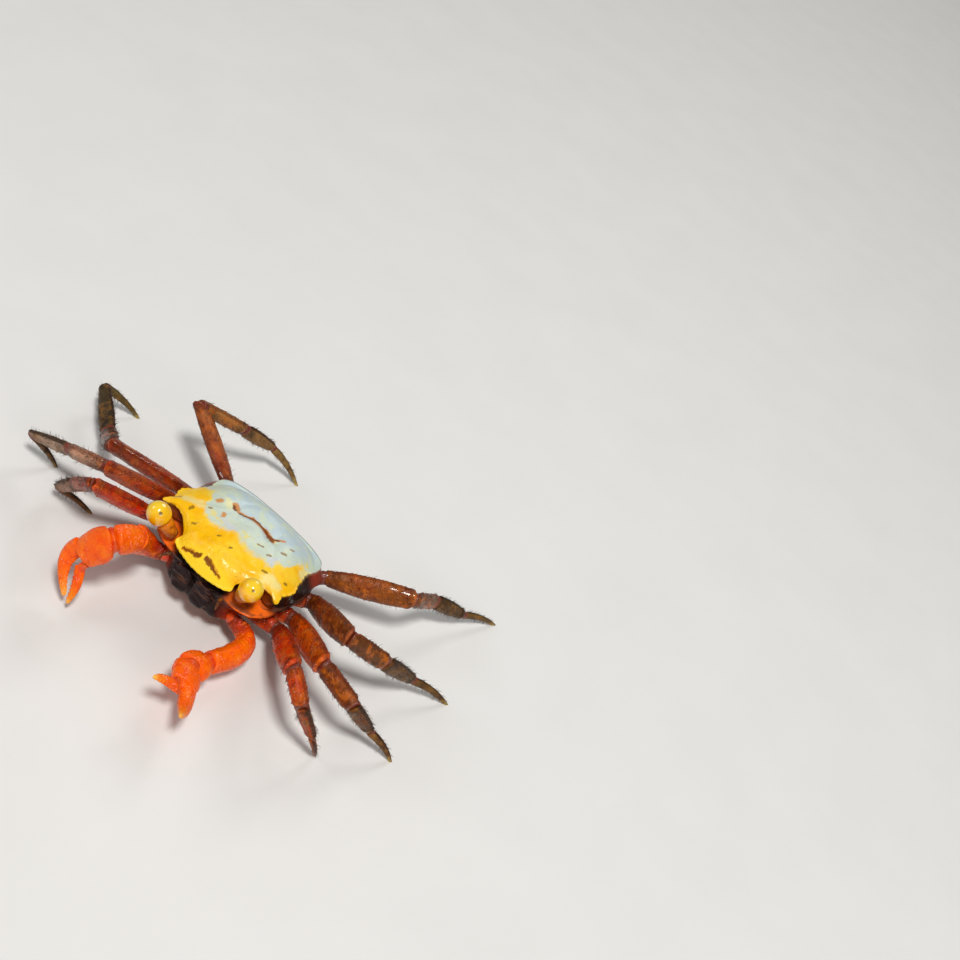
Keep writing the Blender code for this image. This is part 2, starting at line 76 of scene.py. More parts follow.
SWELLINGS = (
    (0.95, -4.95, 0.75, 0.45, 0.18), (2.6, -4.8, 0.75, 0.45, 0.16), (0.0, -2.0, 2.2, 1.6, 0.22),
    (4.1, 0.6, 1.6, 2.6, 0.25), (0.0, 3.2, 1.6, 1.1, 0.18),
)
RIM_STEPS = 7
CROWN_RINGS = 58
WALL_RINGS = 14

# Furrows of the carapace: their points, width and depth.
FURROWS = (
    (((0.0, -5.8), (0.0, -4.3), (0.25, -3.6)), 0.16, 0.06),
    (((1.75, -5.3), (1.8, -4.4)), 0.16, 0.05),
    (((0.3, -4.35), (1.5, -4.2), (3.0, -4.1), (4.0, -3.5)), 0.16, 0.06),
    (((2.5, 0.45), (1.7, 0.15), (0.7, 0.72), (0.0, 0.92)), 0.2, 0.09),
    (((2.5, 0.45), (3.3, -0.8), (4.4, -2.0), (5.9, -2.4)), 0.26, 0.05),
    (((2.3, 0.4), (2.2, 1.5), (1.6, 2.6)), 0.24, 0.04),
    (((5.9, 0.4), (4.9, 1.2)), 0.12, 0.035),
    (((6.0, 1.5), (4.9, 2.3)), 0.12, 0.035),
    (((5.9, 2.6), (4.7, 3.4)), 0.12, 0.035),
    (((4.6, 4.4), (2.5, 4.9), (0.0, 5.1)), 0.18, 0.05),
    (((0.5, -5.75), (2.6, -5.7)), 0.16, 0.05),
)

# Underbody: half outlines at falling levels, from the middle of the front to that of the rear.
BELLY_OUTLINE = (
    (0.0, -5.5), (2.7, -5.4), (3.7, -4.6), (4.3, -3.5), (4.35, -3.0),
    (4.35, -1.0), (4.35, 1.5), (4.2, 3.9), (3.0, 4.7), (0.0, 4.9),
)
UNDERBODY_LEVELS = (
    (-1.8, ((0.0, -4.9), (2.9, -4.75), (2.7, -3.1), (3.6, -2.5), (5.2, -3.0), (6.5, -2.5),
            (7.0, -0.8), (7.1, 1.4), (6.9, 2.8), (5.8, 4.2), (3.8, 4.95), (0.0, 5.25))),
    (-2.35, ((0.0, -5.5), (2.9, -5.35), (4.3, -5.25), (5.7, -4.7), (6.7, -3.5), (7.1, -1.8),
             (7.2, 0.6), (7.1, 1.9), (6.5, 3.1), (4.8, 4.2), (3.4, 4.85), (0.0, 5.1))),
    (-2.8, ((0.0, -5.5), (2.9, -5.4), (4.2, -5.1), (5.4, -4.4), (6.1, -3.3), (6.3, -1.8),
            (6.3, 0.4), (5.8, 1.8), (4.9, 2.9), (4.4, 3.9), (3.4, 4.8), (0.0, 5.05))),
    (-3.15, ((0.0, -5.5), (2.8, -5.4), (4.0, -5.1), (5.1, -4.5), (5.6, -3.5), (5.6, -1.0),
             (5.4, 0.8), (4.85, 2.0), (4.42, 3.0), (4.25, 3.9), (3.2, 4.75), (0.0, 4.95))),
    (-3.6, BELLY_OUTLINE), (-5.2, BELLY_OUTLINE),
    (-5.6, ((0.0, -4.9), (2.2, -4.7), (3.1, -4.0), (3.6, -3.3), (3.7, -2.8), (3.7, -1.0),
            (3.7, 1.5), (3.5, 3.4), (2.4, 4.1), (0.0, 4.4))),
)
UNDERBODY_SPOKES = 200
STERNUM_SEAMS = (-2.9, -1.3, 0.5, 2.3)

ABDOMEN_PATH = (
    (5.85, -2.1, 2.2), (5.66, -2.9, 2.4), (5.55, -3.8, 2.45), (5.52, -5.0, 2.4), (5.05, -6.08, 2.2),
    (3.6, -6.18, 1.9), (2.0, -6.18, 1.5), (0.0, -6.18, 1.0), (-1.4, -6.18, 0.6), (-2.4, -6.16, 0.3),
)
ABDOMEN_THICKNESS = 0.5
ABDOMEN_SEAMS = (0.09, 0.19, 0.3, 0.43, 0.58, 0.76)

MOUTH_PLATE = ((-2.1, 1.25, 0.7), (-2.5, 1.22, 0.95), (-3.4, 1.18, 1.0), (-4.2, 1.12, 0.92), (-4.85, 1.02, 0.62))
MOUTH_PLATE_Y = -6.05
MOUTH_PLATE_THICKNESS = 0.5

EYE_RADIUS = 1.08
EYE_LENGTHENING = 1.12
STALK_FOOT = (4.12, -5.0, -1.38)
STALK_RADII = (0.46, 0.6, 0.74)
EYE_CENTRE = {"left": (4.85, -5.4, 0.6), "right": (-5.6, -6.2, 0.6)}

ANTENNA_ROOT = (3.0, -5.95, -2.15)
ANTENNA_TIP = (3.5, -7.1, -2.35)
ANTENNA_RADII = (0.22, 0.19, 0.09)

LEG_PAIRS = {
    1: {"root": (4.65, -2.2, -4.5), "size": 0.96, "lengths": (2.9, 8.2, 3.6, 3.9, 3.6)},
    2: {"root": (4.65, -0.4, -4.5), "size": 1.0, "lengths": (3.0, 8.6, 4.25, 4.85, 4.15)},
    3: {"root": (4.65, 1.4, -4.4), "size": 1.0, "lengths": (3.1, 9.1, 4.85, 6.1, 5.2)},
    4: {"root": (4.7, 3.35, -4.0), "size": 0.92, "lengths": (2.9, 8.8, 5.25, 5.3, 5.05)},
}
LEG_POSE = {
    (1, "right"): ((178, -123, 153, 154, 31), (7, 28, -46, -53)),
    (2, "right"): ((159, -134, 178, 178, 38), (15, 20, -23, -26)),
    (3, "right"): ((156, -157, 132, 141, 45), (13, 7, -29, 4)),
    (4, "right"): ((124, 161, 45, 66, 28), (23, 20, -18, -32)),
    (1, "left"): ((7, -49, -35, 35, 65), (1, 27, -6, -56)),
    (2, "left"): ((13, -39, -9, 54, 29), (4, 24, -6, -48)),
    (3, "left"): ((30, -36, 45, 65, 43), (12, 30, -28, -36)),
    (4, "left"): ((52, 28, 82, 60, 59), (22, 13, -28, -26)),
}
COXA_FORM = ((0.8, 0.52), (0.84, 0.56), (0.72, 0.5))
MERUS_FORM = ((0.78, 0.55), (1.12, 0.68), (1.26, 0.73), (1.22, 0.72), (1.0, 0.66))
CARPUS_FORM = ((0.8, 0.57), (0.87, 0.59), (0.86, 0.58), (0.79, 0.54))
PROPODUS_FORM = ((0.77, 0.5), (0.84, 0.51), (0.82, 0.5), (0.7, 0.44), (0.5, 0.36))
DACTYL_FORM = ((0.45, 0.34), (0.41, 0.31), (0.33, 0.26), (0.24, 0.2), (0.13, 0.12))
DACTYL_BOW = 0.25
LEFT_LEG_ROLL = 0.5
OUTER_ROLL = {(3, "right"): -0.9, (4, "right"): -0.3}
# How far a stretch reaches past its joint on the outside of a bend, where it ends bluntly.
BEND_REACH = 0.50

ARMS = {
    "left": {
        "root": (4.35, -4.4, -4.7), "bend": (8.4, -4.0, -5.0), "elbow": (6.3, -10.0, -4.7),
        "wrist": (5.9, -12.1, -4.3), "knuckle": (7.1, -14.0, -4.05), "tip": (9.4, -17.4, -2.6),
        "hand_upward": (-0.75, -0.25, 0.62), "finger_tip": (5.55, -16.75, -2.3),
    },
    "right": {
        "root": (-4.35, -4.45, -4.5), "bend": (-7.2, -6.0, -4.3), "elbow": (-4.99, -9.06, -0.46),
        "wrist": (-5.58, -11.55, 0.24), "knuckle": (-7.07, -12.52, -2.34), "tip": (-6.19, -14.2, -6.02),
        "hand_upward": (0.88, -0.09, -0.47), "finger_tip": (-5.6, -14.3, -6.32),
    },
}
ARM_ROOT_NORMAL = (0.87, -0.5, 0.0)
ARM_FORM = ((0.75, 0.6), (0.98, 0.82), (1.22, 1.02), (1.3, 1.08), (1.12, 1.0))
WRIST_FORM = ((1.08, 0.98), (1.34, 1.14), (1.42, 1.14), (1.32, 1.06))
PALM_FORM = ((1.3, 1.04), (1.5, 1.08), (1.58, 1.1), (1.48, 1.02), (1.24, 0.86))
FIXED_FINGER_FORM = ((0.84, 0.7), (0.7, 0.58), (0.48, 0.42), (0.18, 0.17))
MOVABLE_FINGER_FORM = ((0.44, 0.44), (0.44, 0.42), (0.38, 0.36), (0.29, 0.27), (0.15, 0.14))
FIXED_FINGER_DROP = 0.62
FINGER_RISE = 0.98
FINGER_SETBACK = 0.56
TOOTH_PITCH = 0.42

CAMERA_PLACE = (34.5, -82.98, 80.95)
CAMERA_RIGHT = (0.739, 0.4993, 0.4523)
CAMERA_UP = (-0.6471, 0.339, 0.6829)
CAMERA_BACK = (0.1877, -0.7973, 0.5736)
# Bristles in metres: number to the square metre, length, thickness, and shares of lean, spread and bend.
LEG_BRISTLES = (24.0e6, 0.00044, 0.000024, 0.8, 0.28, 0.35)
MOUTH_BRISTLES = (14.0e6, 0.00045, 0.00002, 0.4, 0.4, 0.3)
TAIL_BRISTLES = (8.0e6, 0.0004, 0.00002, 0.5, 0.4, 0.3)
# Grains: number to the square metre and size.
LEG_GRAINS = (14.0e6, 0.000095)
CLAW_GRAINS = (4.2e6, 0.000085)
WALL_GRAINS = (7.0e6, 0.00007)
GROWN_SIZES = {"bristles": "Density Length Thickness Lean Spread Bend", "grains": "Density Size"}
LOWEST_POINT = 0.00002

# The walking legs' stretches from body to toe: name, form, coarse rings, finer steps between them, height of the
# keel, unevenness, depth of the side furrow and share of bristles.
STRETCHES = (
    ("coxa", COXA_FORM, 4, 8, 0.03, 0.04, 0.0, 0.05), ("merus", MERUS_FORM, 6, 9, 0.07, 0.035, 0.03, 0.1),
    ("carpus", CARPUS_FORM, 5, 7, 0.06, 0.035, 0.05, 0.35),
    ("propodus", PROPODUS_FORM, 6, 8, 0.05, 0.03, 0.07, 0.9), ("dactyl", DACTYL_FORM, 6, 7, 0.0, 0.0, 0.0, 1.0),
)
TOE_STRETCH = 4
FIRST_TOE_COLOUR = 3
BEND_LEAN = 0.5
LEG_ROUNDING = 0.20
CLAW_ROUNDING = 0.38
RIM_EVENING = 20
SIDE_TOOTH_PITCH = 0.62
FRONT_TOOTH_PITCH = 0.55
UNDERBODY_TOP = -1.48
EYE_RINGS = 40
EYE_SIDES = 56
STALK_SIDES = 32
ANTENNA_SIDES = 24
PLATE_SIDES = 48
LEG_SIDES = 36
CLAW_SIDES = 44
FINGER_SIDES = 40
HAND_SIDES = 48
JOINT_RINGS = 9
JOINT_SIDES = 24
JOINT_SKIN_REACH = 0.42
UPPER_NARROWING = 0.22
CUT_REACH = 0.35
CAP_SHARE = 0.55
SIDES = ("left", "right")
UP = Vector((0.0, 0.0, 1.0))
ACROSS = Vector((1.0, 0.0, 0.0))

# Colours are mixed in the usual 0 to 255 steps. Along a limb piece: share of its length, its colour.
CLAW_TINTS = {
    "arm": ((0.0, (120, 34, 8)), (0.22, (176, 46, 6)), (0.34, (244, 84, 0)), (0.7, (252, 104, 0)),
            (1.0, (246, 92, 0))),
    "wrist": ((0.0, (248, 92, 2)), (0.5, (255, 108, 2)), (1.0, (250, 92, 2))),
    "hand": ((0.0, (248, 90, 2)), (0.35, (252, 98, 2)), (0.7, (250, 100, 4)), (0.88, (252, 126, 16)),
             (1.0, (255, 186, 70))),
    "finger": ((0.0, (244, 86, 2)), (0.5, (250, 102, 4)), (0.85, (252, 140, 30)), (1.0, (255, 196, 80))),
}
STALK_TINTS = ((0.0, (158, 70, 12)), (0.6, (200, 100, 14)), (1.0, (228, 132, 12)))
ANTENNA_TINTS = ((0.0, (52, 22, 14)), (0.6, (84, 40, 22)), (1.0, (110, 62, 34)))
LEG_TINTS = {
    (1, "left"): ((216, 72, 20), (206, 54, 6), (196, 66, 6), (176, 68, 10), (150, 70, 16)),
    (2, "left"): ((200, 58, 14), (222, 80, 4), (132, 58, 12), (112, 60, 16), (100, 62, 26)),
    (3, "left"): ((176, 52, 18), (148, 68, 24), (112, 60, 20), (88, 54, 22), (96, 66, 30)),
    (4, "left"): ((176, 44, 22), (150, 76, 24), (120, 66, 20), (88, 58, 24), (94, 68, 32)),
    (1, "right"): ((190, 48, 8), (226, 60, 4), (150, 50, 22), (176, 134, 108), (110, 70, 34)),
    (2, "right"): ((180, 48, 10), (206, 62, 8), (190, 136, 106), (188, 156, 132), (104, 70, 40)),
    (3, "right"): ((166, 46, 12), (184, 62, 12), (84, 46, 28), (58, 46, 32), (92, 74, 40)),
    (4, "right"): ((160, 48, 22), (152, 66, 28), (162, 112, 60), (150, 104, 52), (130, 98, 52)),
}
KNEE_PALE = (222, 150, 104)
TOE_PALE = (216, 190, 110)

# Shell marks: points in the crab's frame, width, softness.
DARK_MARKS = (
    ((-2.37, -5.76), (-1.55, -5.84), 0.01, 0.07), ((-1.55, -5.84), (-1.0, -5.84), 0.05, 0.09),
    ((-1.05, -5.82), (-0.68, -5.74), 0.11, 0.1), ((-0.05, -5.62), (0.55, -5.72), 0.1, 0.1),
    ((0.5, -5.72), (1.3, -5.78), 0.06, 0.09), ((1.3, -5.78), (1.85, -5.7), 0.01, 0.07),
    ((-2.54, 0.36), (-2.25, 0.04), 0.1, 0.14), ((-1.73, 0.14), (-0.67, 0.74), 0.04, 0.08),
    ((-0.67, 0.74), (0.12, 0.92), 0.05, 0.08), ((0.12, 0.92), (0.89, 0.77), 0.06, 0.09),
    ((0.89, 0.77), (1.6, 0.49), 0.09, 0.12), ((1.6, 0.49), (2.1, 0.38), 0.13, 0.16),
    ((1.9, 0.5), (2.5, 0.9), 0.05, 0.1),
)
ORANGE_MARKS = (
    ((-2.6, 0.55), (-2.2, 0.3), 0.22, 0.2), ((-1.9, 0.12), (-0.67, 0.74), 0.07, 0.14),
    ((-0.67, 0.74), (0.9, 0.8), 0.12, 0.16), ((0.9, 0.78), (2.2, 0.4), 0.14, 0.2),
    ((2.1, 0.55), (2.85, 1.35), 0.07, 0.16),
    ((-2.4, -5.78), (-0.6, -5.76), 0.04, 0.14), ((-0.1, -5.6), (1.9, -5.72), 0.04, 0.13),
    ((-3.82, -0.67), (-3.7, -0.35), 0.13, 0.2),
    ((-2.42, -1.3), (-2.28, -1.55), 0.11, 0.16),
)
SPOT_MARKS = (
    ((-4.67, -3.24), (-4.6, -3.05), 0.09, 0.13), ((-3.63, -1.96), (-3.5, -1.85), 0.06, 0.12),
    ((1.8, -1.26), (2.2, -1.06), 0.05, 0.1), ((3.08, -1.46), (3.32, -1.22), 0.06, 0.12),
    ((3.65, -0.06), (3.98, 0.14), 0.07, 0.12), ((4.0, -2.92), (4.36, -2.78), 0.06, 0.12),
    ((6.04, -1.96), (6.12, -1.82), 0.07, 0.12), ((-3.4, -4.05), (-3.2, -3.95), 0.05, 0.14),
    ((3.8, 1.15), (4.0, 1.35), 0.04, 0.14), ((-6.5, -2.9), (-6.3, -2.7), 0.05, 0.12),
    ((0.6, -3.75), (0.75, -3.6), 0.04, 0.1), ((-0.95, -3.6), (-0.8, -3.5), 0.04, 0.1),
)
CREAM_MARKS = (
    ((4.7, -3.1), (5.7, -2.9), 0.25, 0.5), ((-5.9, -2.6), (-4.4, -2.2), 0.15, 0.6),
    ((-3.2, 0.2), (-2.8, 0.0), 0.2, 0.5), ((6.0, 0.6), (6.1, 1.4), 0.2, 0.5),
)
LILAC_MARKS = (((3.6, -1.6), (4.0, -1.3), 0.1, 0.5), ((-1.7, -1.8), (-0.9, -2.0), 0.1, 0.6))
# Where the yellow ends and the pale rear begins: X and Y along the boundary.
YELLOW_EDGE = (
    (-7.2, 0.5), (-5.5, 0.3), (-4.6, -0.3), (-4.2, -1.6), (-3.6, -2.5), (-2.3, -3.1), (-1.2, -2.7), (0.0, -2.2),
    (1.5, -2.6), (3.0, -2.3), (3.9, -2.3), (4.5, -1.3), (4.9, -0.4), (5.6, 1.4), (7.2, 1.7),
)
EDGE_SPAN = 7.2


# Shapes


def to_world(points):
    """Millimetres in the crab's frame to metres on the floor."""
    return (np.asarray(points, float) + np.array(SHIFT)) * MM


def sided(place, side):
    """A place or way given for the left side, on the named side."""
    return Vector((place[0] if side == "left" else -place[0], place[1], place[2]))


def heading(azimuth, pitch):
    a, p = math.radians(azimuth), math.radians(pitch)
    return Vector((math.cos(p) * math.cos(a), math.cos(p) * math.sin(a), math.sin(p)))


def mixed(first, second, share):
    return tuple(a + (b - a) * share for a, b in zip(first, second))


def scaled(values, size):
    return tuple(value * size for value in values)


def ramp(value, start, width):
    """From 0 at the start to 1 beyond its width."""
    return np.clip((value - start) / width, 0.0, 1.0)


def bell(value, middle, width):
    return np.exp(-((value - middle) / width) ** 2)


def turns(count):
    return [2 * math.pi * k / count for k in range(count)]


def travelled(path):
    """Distance along a path at each of its points."""
    return np.concatenate([[0.0], np.cumsum(np.linalg.norm(np.diff(path, axis=0), axis=1))])


def way_at(path, n):
    return (path[min(n + 1, len(path) - 1)] - path[max(n - 1, 0)]).normalized()


def joint_cut(before, after):
    return (before + after).normalized()


def bezier(a, b, c, count):
    shares = [n / (count - 1) for n in range(count)]
    return [a * (1 - f) ** 2 + b * (2 * f * (1 - f)) + c * f ** 2 for f in shares]


def refine(rows, steps, closed=False):
    """More rows between the given ones, on smooth curves through them."""
    rows = np.asarray(rows, float)
    count = len(rows)
    fine = []
    for k in range(count if closed else count - 1):
        a, b, c, d = (rows[n % count if closed else min(max(n, 0), count - 1)] for n in range(k - 1, k + 3))
        for t in (step / steps for step in range(steps)):
            fine.append(0.5 * (2 * b + (c - a) * t + (2 * a - 5 * b + 4 * c - d) * t ** 2
                               + (3 * b - a - 3 * c + d) * t ** 3))
    return np.array(fine if closed else fine + [rows[-1]])


def mirrored(half):
    return list(half) + [(-row[0],) + tuple(row[1:]) for row in reversed(half[1:-1])]


def drawn_in(ring, share, centre=CARAPACE_CENTRE):
    """A ring drawn in towards the upright line through a centre."""
    middle = np.array([*centre, 0.0])
    return middle + (ring - middle) * (share, share, 1.0)


def rough(points, scale, seed):
    """Soft noise at points in millimetres, between about -1 and 1."""
    offset = Vector((seed * 7.3, seed * 3.1, seed * 5.7))
    values = [noise.noise(Vector(point) * scale + offset) for point in points.reshape(-1, 3)]
    return np.array(values).reshape(points.shape[:-1])


def near_path(x, y, path):
    """Distance from points to a path of straight stretches."""
    best = np.full(np.shape(x), 1e9)
    for (ax, ay), (bx, by) in zip(path, path[1:]):
        dx, dy = bx - ax, by - ay
        t = np.clip(((x - ax) * dx + (y - ay) * dy) / (dx * dx + dy * dy), 0.0, 1.0)
        best = np.minimum(best, np.hypot(x - ax - dx * t, y - ay - dy * t))
    return best


def paint(*steps):
    """A colour's linear light, as a shader needs it."""
    shares = [step / 255.0 for step in steps]
    return tuple(s / 12.92 if s <= 0.04045 else ((s + 0.055) / 1.055) ** 2.4 for s in shares) + (1.0,)


def stops_to_tint(shares, stops):
    """Colours for shares of a length, from colour stops."""
    places = [place for place, colour in stops]
    channels = zip(*(paint(*colour) for place, colour in stops))
    return np.stack([np.interp(shares, places, channel) for channel in channels], axis=-1)


def tube(grid):
    """Points and outward faces of a closed body over a grid of rings, each end closed by a fan."""
    verts = np.concatenate([grid.reshape(-1, 3), grid[:1].mean(axis=1), grid[-1:].mean(axis=1)])
    here = np.arange(grid.shape[0] * grid.shape[1]).reshape(grid.shape[:2])
    beside = np.roll(here, -1, axis=1)
    faces = np.stack([here[:-1], beside[:-1], beside[1:], here[1:]], axis=-1).reshape(-1, 4).tolist()
    for k, n, low, high in np.stack([here[0], beside[0], here[-1], beside[-1]], axis=1).tolist():
        faces += [[here.size, n, k], [here.size + 1, low, high]]
    corners = np.array([face if len(face) == 4 else face + face[-1:] for face in faces])
    p, q, r, s = (verts[corners[:, k]] for k in range(4))
    volume = (p * (np.cross(q, r) + np.cross(r, s))).sum()
    return verts, [face[::-1] for face in faces] if volume < 0 else faces


def put(name, data):
    thing = bpy.data.objects.new(name, data)
    bpy.context.scene.collection.objects.link(thing)
    return thing


def settle(name, data, slot, node=None):
    """A finished mesh as a piece of the one body, in the place of a plain solid where a node is named."""
    piece = put(name, data)
    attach(piece, "root")
    if node:
        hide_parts(node)


def mesh_of(name, verts, faces, material=None):
    data = bpy.data.meshes.new(name)
    data.from_pydata(verts.tolist(), [], faces)
    if material:
        data.shade_smooth()
        data.materials.append(material)
    return data


def store(data, values):
    """Named values per point of a mesh: numbers, directions or colours."""
    kinds = {1: ("FLOAT", "value"), 3: ("FLOAT_VECTOR", "vector"), 4: ("FLOAT_COLOR", "color")}
    for key, value in values.items():
        kind, field = kinds[value.size // len(value)]
        data.attributes.new(key, kind, "POINT").data.foreach_set(field, value.astype(np.float32).ravel())


def spread(value):
    """A grid's values per point, and one for the middle of each end."""
    ends = (value[:1].mean(axis=1), value[-1:].mean(axis=1))
    return np.concatenate([value.reshape(-1, *value.shape[2:]), *ends])


MADE = {}


def build(name, grid, material, slot, node, values=None, growth=None, toward=None):
    """One piece over a grid of rings, kept as a bed where something grows on it, leaning one way."""
    verts, faces = tube(grid)
    places = to_world(verts)
    values = {key: spread(value) for key, value in (values or {}).items()}
    data = mesh_of(name, places, faces, material)
    store(data, values)
    settle(name, data, slot, node)
    if growth is not None:
        MADE[name] = dict(values, verts=places, faces=faces, growth=spread(growth),
                          toward=np.tile(toward, (len(verts), 1)))


def ring_offsets(form, f, across, upward, sides):
    """A ring's points about its middle at a share of a limb's length, narrower above than below."""
    place = f * (len(form) - 1)
    low = min(int(place), len(form) - 2)
    height, breadth = mixed(form[low], form[low + 1], place - low)
    return [across * (breadth * math.cos(turn) * (1.0 - UPPER_NARROWING * max(math.sin(turn), 0.0) ** 2))
            + upward * (height * math.sin(turn)) for turn in turns(sides)]


def slide(cut, offset, along):
    """How far a point slides along a limb to meet a cut, given as its normal and its gap."""
    return (cut[1] - cut[0].dot(offset)) / cut[0].dot(along)


def stretch_rings(start, end, cuts, across, form, sides, count, bow=0.0):
    """Rings of a straight stretch between its two cuts."""
    along = (end - start).normalized()
    length = (end - start).length
    across = (across - along * across.dot(along)).normalized()
    upward = across.cross(along).normalized()
    if upward.z < 0:
        upward.negate()
    rings = []
    for f in (n / (count - 1) for n in range(count)):
        ring = []
        for offset in ring_offsets(form, f, across, upward, sides):
            first = max(slide(cuts[0], offset, along), -BEND_REACH)
            last = length + min(slide(cuts[1], offset, along), BEND_REACH)
            lift = upward * (bow * 4 * f * (1 - f))
            ring.append(start + offset + lift + along * (first + (last - first) * f))
        rings.append(ring)
    return rings


def sweep_rings(path, form, rise, cuts, sides):
    """Rings along a bent path, slid onto the cuts near its ends."""
    rings = []
    for n, point in enumerate(path):
        along = way_at(path, n)
        side = along.cross(rise).normalized()
        f = n / (len(path) - 1)
        shares = (max(0.0, 1.0 - f / CUT_REACH), max(0.0, 1.0 - (1.0 - f) / CUT_REACH))
        ring = []
        for offset in ring_offsets(form, f, side, side.cross(along).normalized(), sides):
            shift = sum(share * slide(cut, offset, along) for share, cut in zip(shares, cuts))
            ring.append(point + offset + along * shift)
        rings.append(ring)
    return rings


def round_rings(path, radii, way, sides):
    """Round rings along a path, square to one way at both ends."""
    return sweep_rings(path, [(radius, radius) for radius in radii], way.orthogonal(), ((way, 0.0),) * 2, sides)


def skin(name, stations, material, slot, node, relief, steps=7, ends=(0.30, 0.30), stops=None, growth=None,
         rounding=CLAW_ROUNDING):
    """A limb's surface through coarse rings: refined, rounded at its ends and given its relief."""
    grid = refine(stations, steps)
    middle = grid.mean(axis=1)
    distance = travelled(middle)[:, None] + np.zeros(grid.shape[:2])
    total = distance[-1, 0]
    turn = np.broadcast_to(turns(grid.shape[1]), grid.shape[:2])
    out = grid - middle[:, None, :]
    reach = np.maximum(np.linalg.norm(out, axis=2, keepdims=True), 1e-6)
    kept = np.ones(grid.shape[:2])
    for gone, edge in ((distance, ends[0]), (total - distance, ends[1])):
        if edge > 0:
            kept *= 1.0 - rounding * np.clip(1.0 - gone / edge, 0.0, 1.0) ** 2
    grid = middle[:, None, :] + out * kept[:, :, None]
    grid = grid + out / reach * relief(distance, total, turn, grid)[:, :, None]
    caps = [ring.mean(axis=0) + (ring - ring.mean(axis=0)) * CAP_SHARE for ring in (grid[0], grid[-1])]
    values = {"rise": np.sin(turn)}
    if stops:
        values["tint"] = stops_to_tint(distance / total, stops)
    if growth:
        values["growth"] = growth(distance / total, turn)
    values = {key: np.concatenate([value[:1], value, value[-1:]]) for key, value in values.items()}
    grown = values.pop("growth", None)
    way = middle[-1] - middle[0]
    build(name, np.concatenate([caps[:1], grid, caps[1:]]), material, slot, node, values, grown,
          way / np.linalg.norm(way))


def limb_relief(seed, keel, grain, furrow=0.0, lip=1.0):
    """Uneven chitin: a toothed upper keel, raised lips beside the joints and side furrows."""
    def relief(distance, total, turn, grid):
        depth = grain * rough(grid, 1.1, seed) + grain * 0.5 * rough(grid, 3.6, seed + 1)
        teeth = np.abs(np.sin(np.pi * distance / TOOTH_PITCH))
        depth += keel * np.clip(np.sin(turn), 0.0, 1.0) ** 10 * teeth
        depth += lip * (0.05 * bell(total - distance, 0.42, 0.17) + 0.03 * bell(distance, 0.38, 0.15))
        inside = ramp(distance, 0.0, 0.8) * ramp(total - distance, 0.0, 0.8)
        return depth - furrow * inside * bell(np.sin(turn), 0.0, 0.22)
    return relief


# Shader groups and materials


class Bench:
    """Adds nodes and links to one node tree."""

    def __init__(self, tree):
        self.tree = tree

    def feed(self, sockets, values):
        """Links each named socket to another node, or sets it."""
        for key, value in values.items():
            if isinstance(value, bpy.types.NodeSocket):
                self.tree.links.new(value, sockets[key])
            else:
                sockets[key].default_value = value

    def add(self, kind, values=None, **settings):
        node = self.tree.nodes.new(kind)
        for key, value in settings.items():
            setattr(node, key, value)
        self.feed(node.inputs, values or {})
        return node

    def get(self, kind, values=None, out=0, **settings):
        return self.add(kind, values, **settings).outputs[out]

    def calc(self, operation, first, second=0.0, clamp=False):
        return self.get("ShaderNodeMath", {0: first, 1: second}, operation=operation, use_clamp=clamp)

    def times(self, first, *factors):
        for factor in factors:
            first = self.calc("MULTIPLY", first, factor)
        return first

    def vector(self, operation, first, second, out=0):
        return self.get("ShaderNodeVectorMath", {0: first, 1: second}, out, operation=operation)

    def scaled(self, first, size):
        return self.get("ShaderNodeVectorMath", {0: first, "Scale": size}, operation="SCALE")

    def parts(self, point):
        return self.add("ShaderNodeSeparateXYZ", {0: point}).outputs

    def joined(self, x, y=0.0, z=0.0):
        return self.get("ShaderNodeCombineXYZ", {"X": x, "Y": y, "Z": z})

    def cloud(self, point, scale, detail=2.0, roughness=0.5, out=0):
        return self.get("ShaderNodeTexNoise", {"Vector": point, "Scale": scale, "Detail": detail,
                                               "Roughness": roughness}, out)

    def cells(self, point, scale, randomness=1.0):
        return self.get("ShaderNodeTexVoronoi", {"Vector": point, "Scale": scale, "Randomness": randomness})

    def span(self, value, low, high, to_low=0.0, to_high=1.0, soft=True):
        return self.get("ShaderNodeMapRange", {"Value": value, "From Min": low, "From Max": high,
                                               "To Min": to_low, "To Max": to_high}, "Result",
                        interpolation_type="SMOOTHSTEP" if soft else "LINEAR")

    def blend(self, share, first, second):
        return self.get("ShaderNodeMix", {0: share, 6: first, 7: second}, 2, data_type="RGBA")


KINDS = {"Point": "Vector", "Start": "Vector", "End": "Vector", "Colour": "Color", "Geometry": "Geometry",
         "Seed": "Int", "Material": "Material"}


def new_tree(name, given, made, kind="ShaderNodeTree"):
    """A node tree with named sockets: its bench, its inputs, and the sockets for what it makes."""
    tree = bpy.data.node_groups.new(name, kind)
    for way, keys in (("INPUT", given), ("OUTPUT", made)):
        for key in keys.split():
            tree.interface.new_socket(key, in_out=way, socket_type="NodeSocket" + KINDS.get(key, "Float"))
    bench = Bench(tree)
    return bench, bench.add("NodeGroupInput").outputs, bench.add("NodeGroupOutput").inputs


def stroke_group():
    """Mask of a painted stroke between two points, seen from above."""
    bench, given, made = new_tree("Stroke", "Point Start End Width Softness", "Mask")
    flat = bench.vector("MULTIPLY", given["Point"], (1.0, 1.0, 0.0))
    run = bench.vector("SUBTRACT", given["End"], given["Start"])
    gone = bench.vector("SUBTRACT", flat, given["Start"])
    whole = bench.calc("MAXIMUM", bench.vector("DOT_PRODUCT", run, run, 1), 1e-6)
    share = bench.calc("DIVIDE", bench.vector("DOT_PRODUCT", gone, run, 1), whole, clamp=True)
    far = bench.vector("DISTANCE", gone, bench.scaled(run, share), 1)
    outer = bench.calc("ADD", given["Width"], given["Softness"])
    bench.feed(made, {"Mask": bench.span(far, given["Width"], outer, 1.0, 0.0)})
    return bench.tree


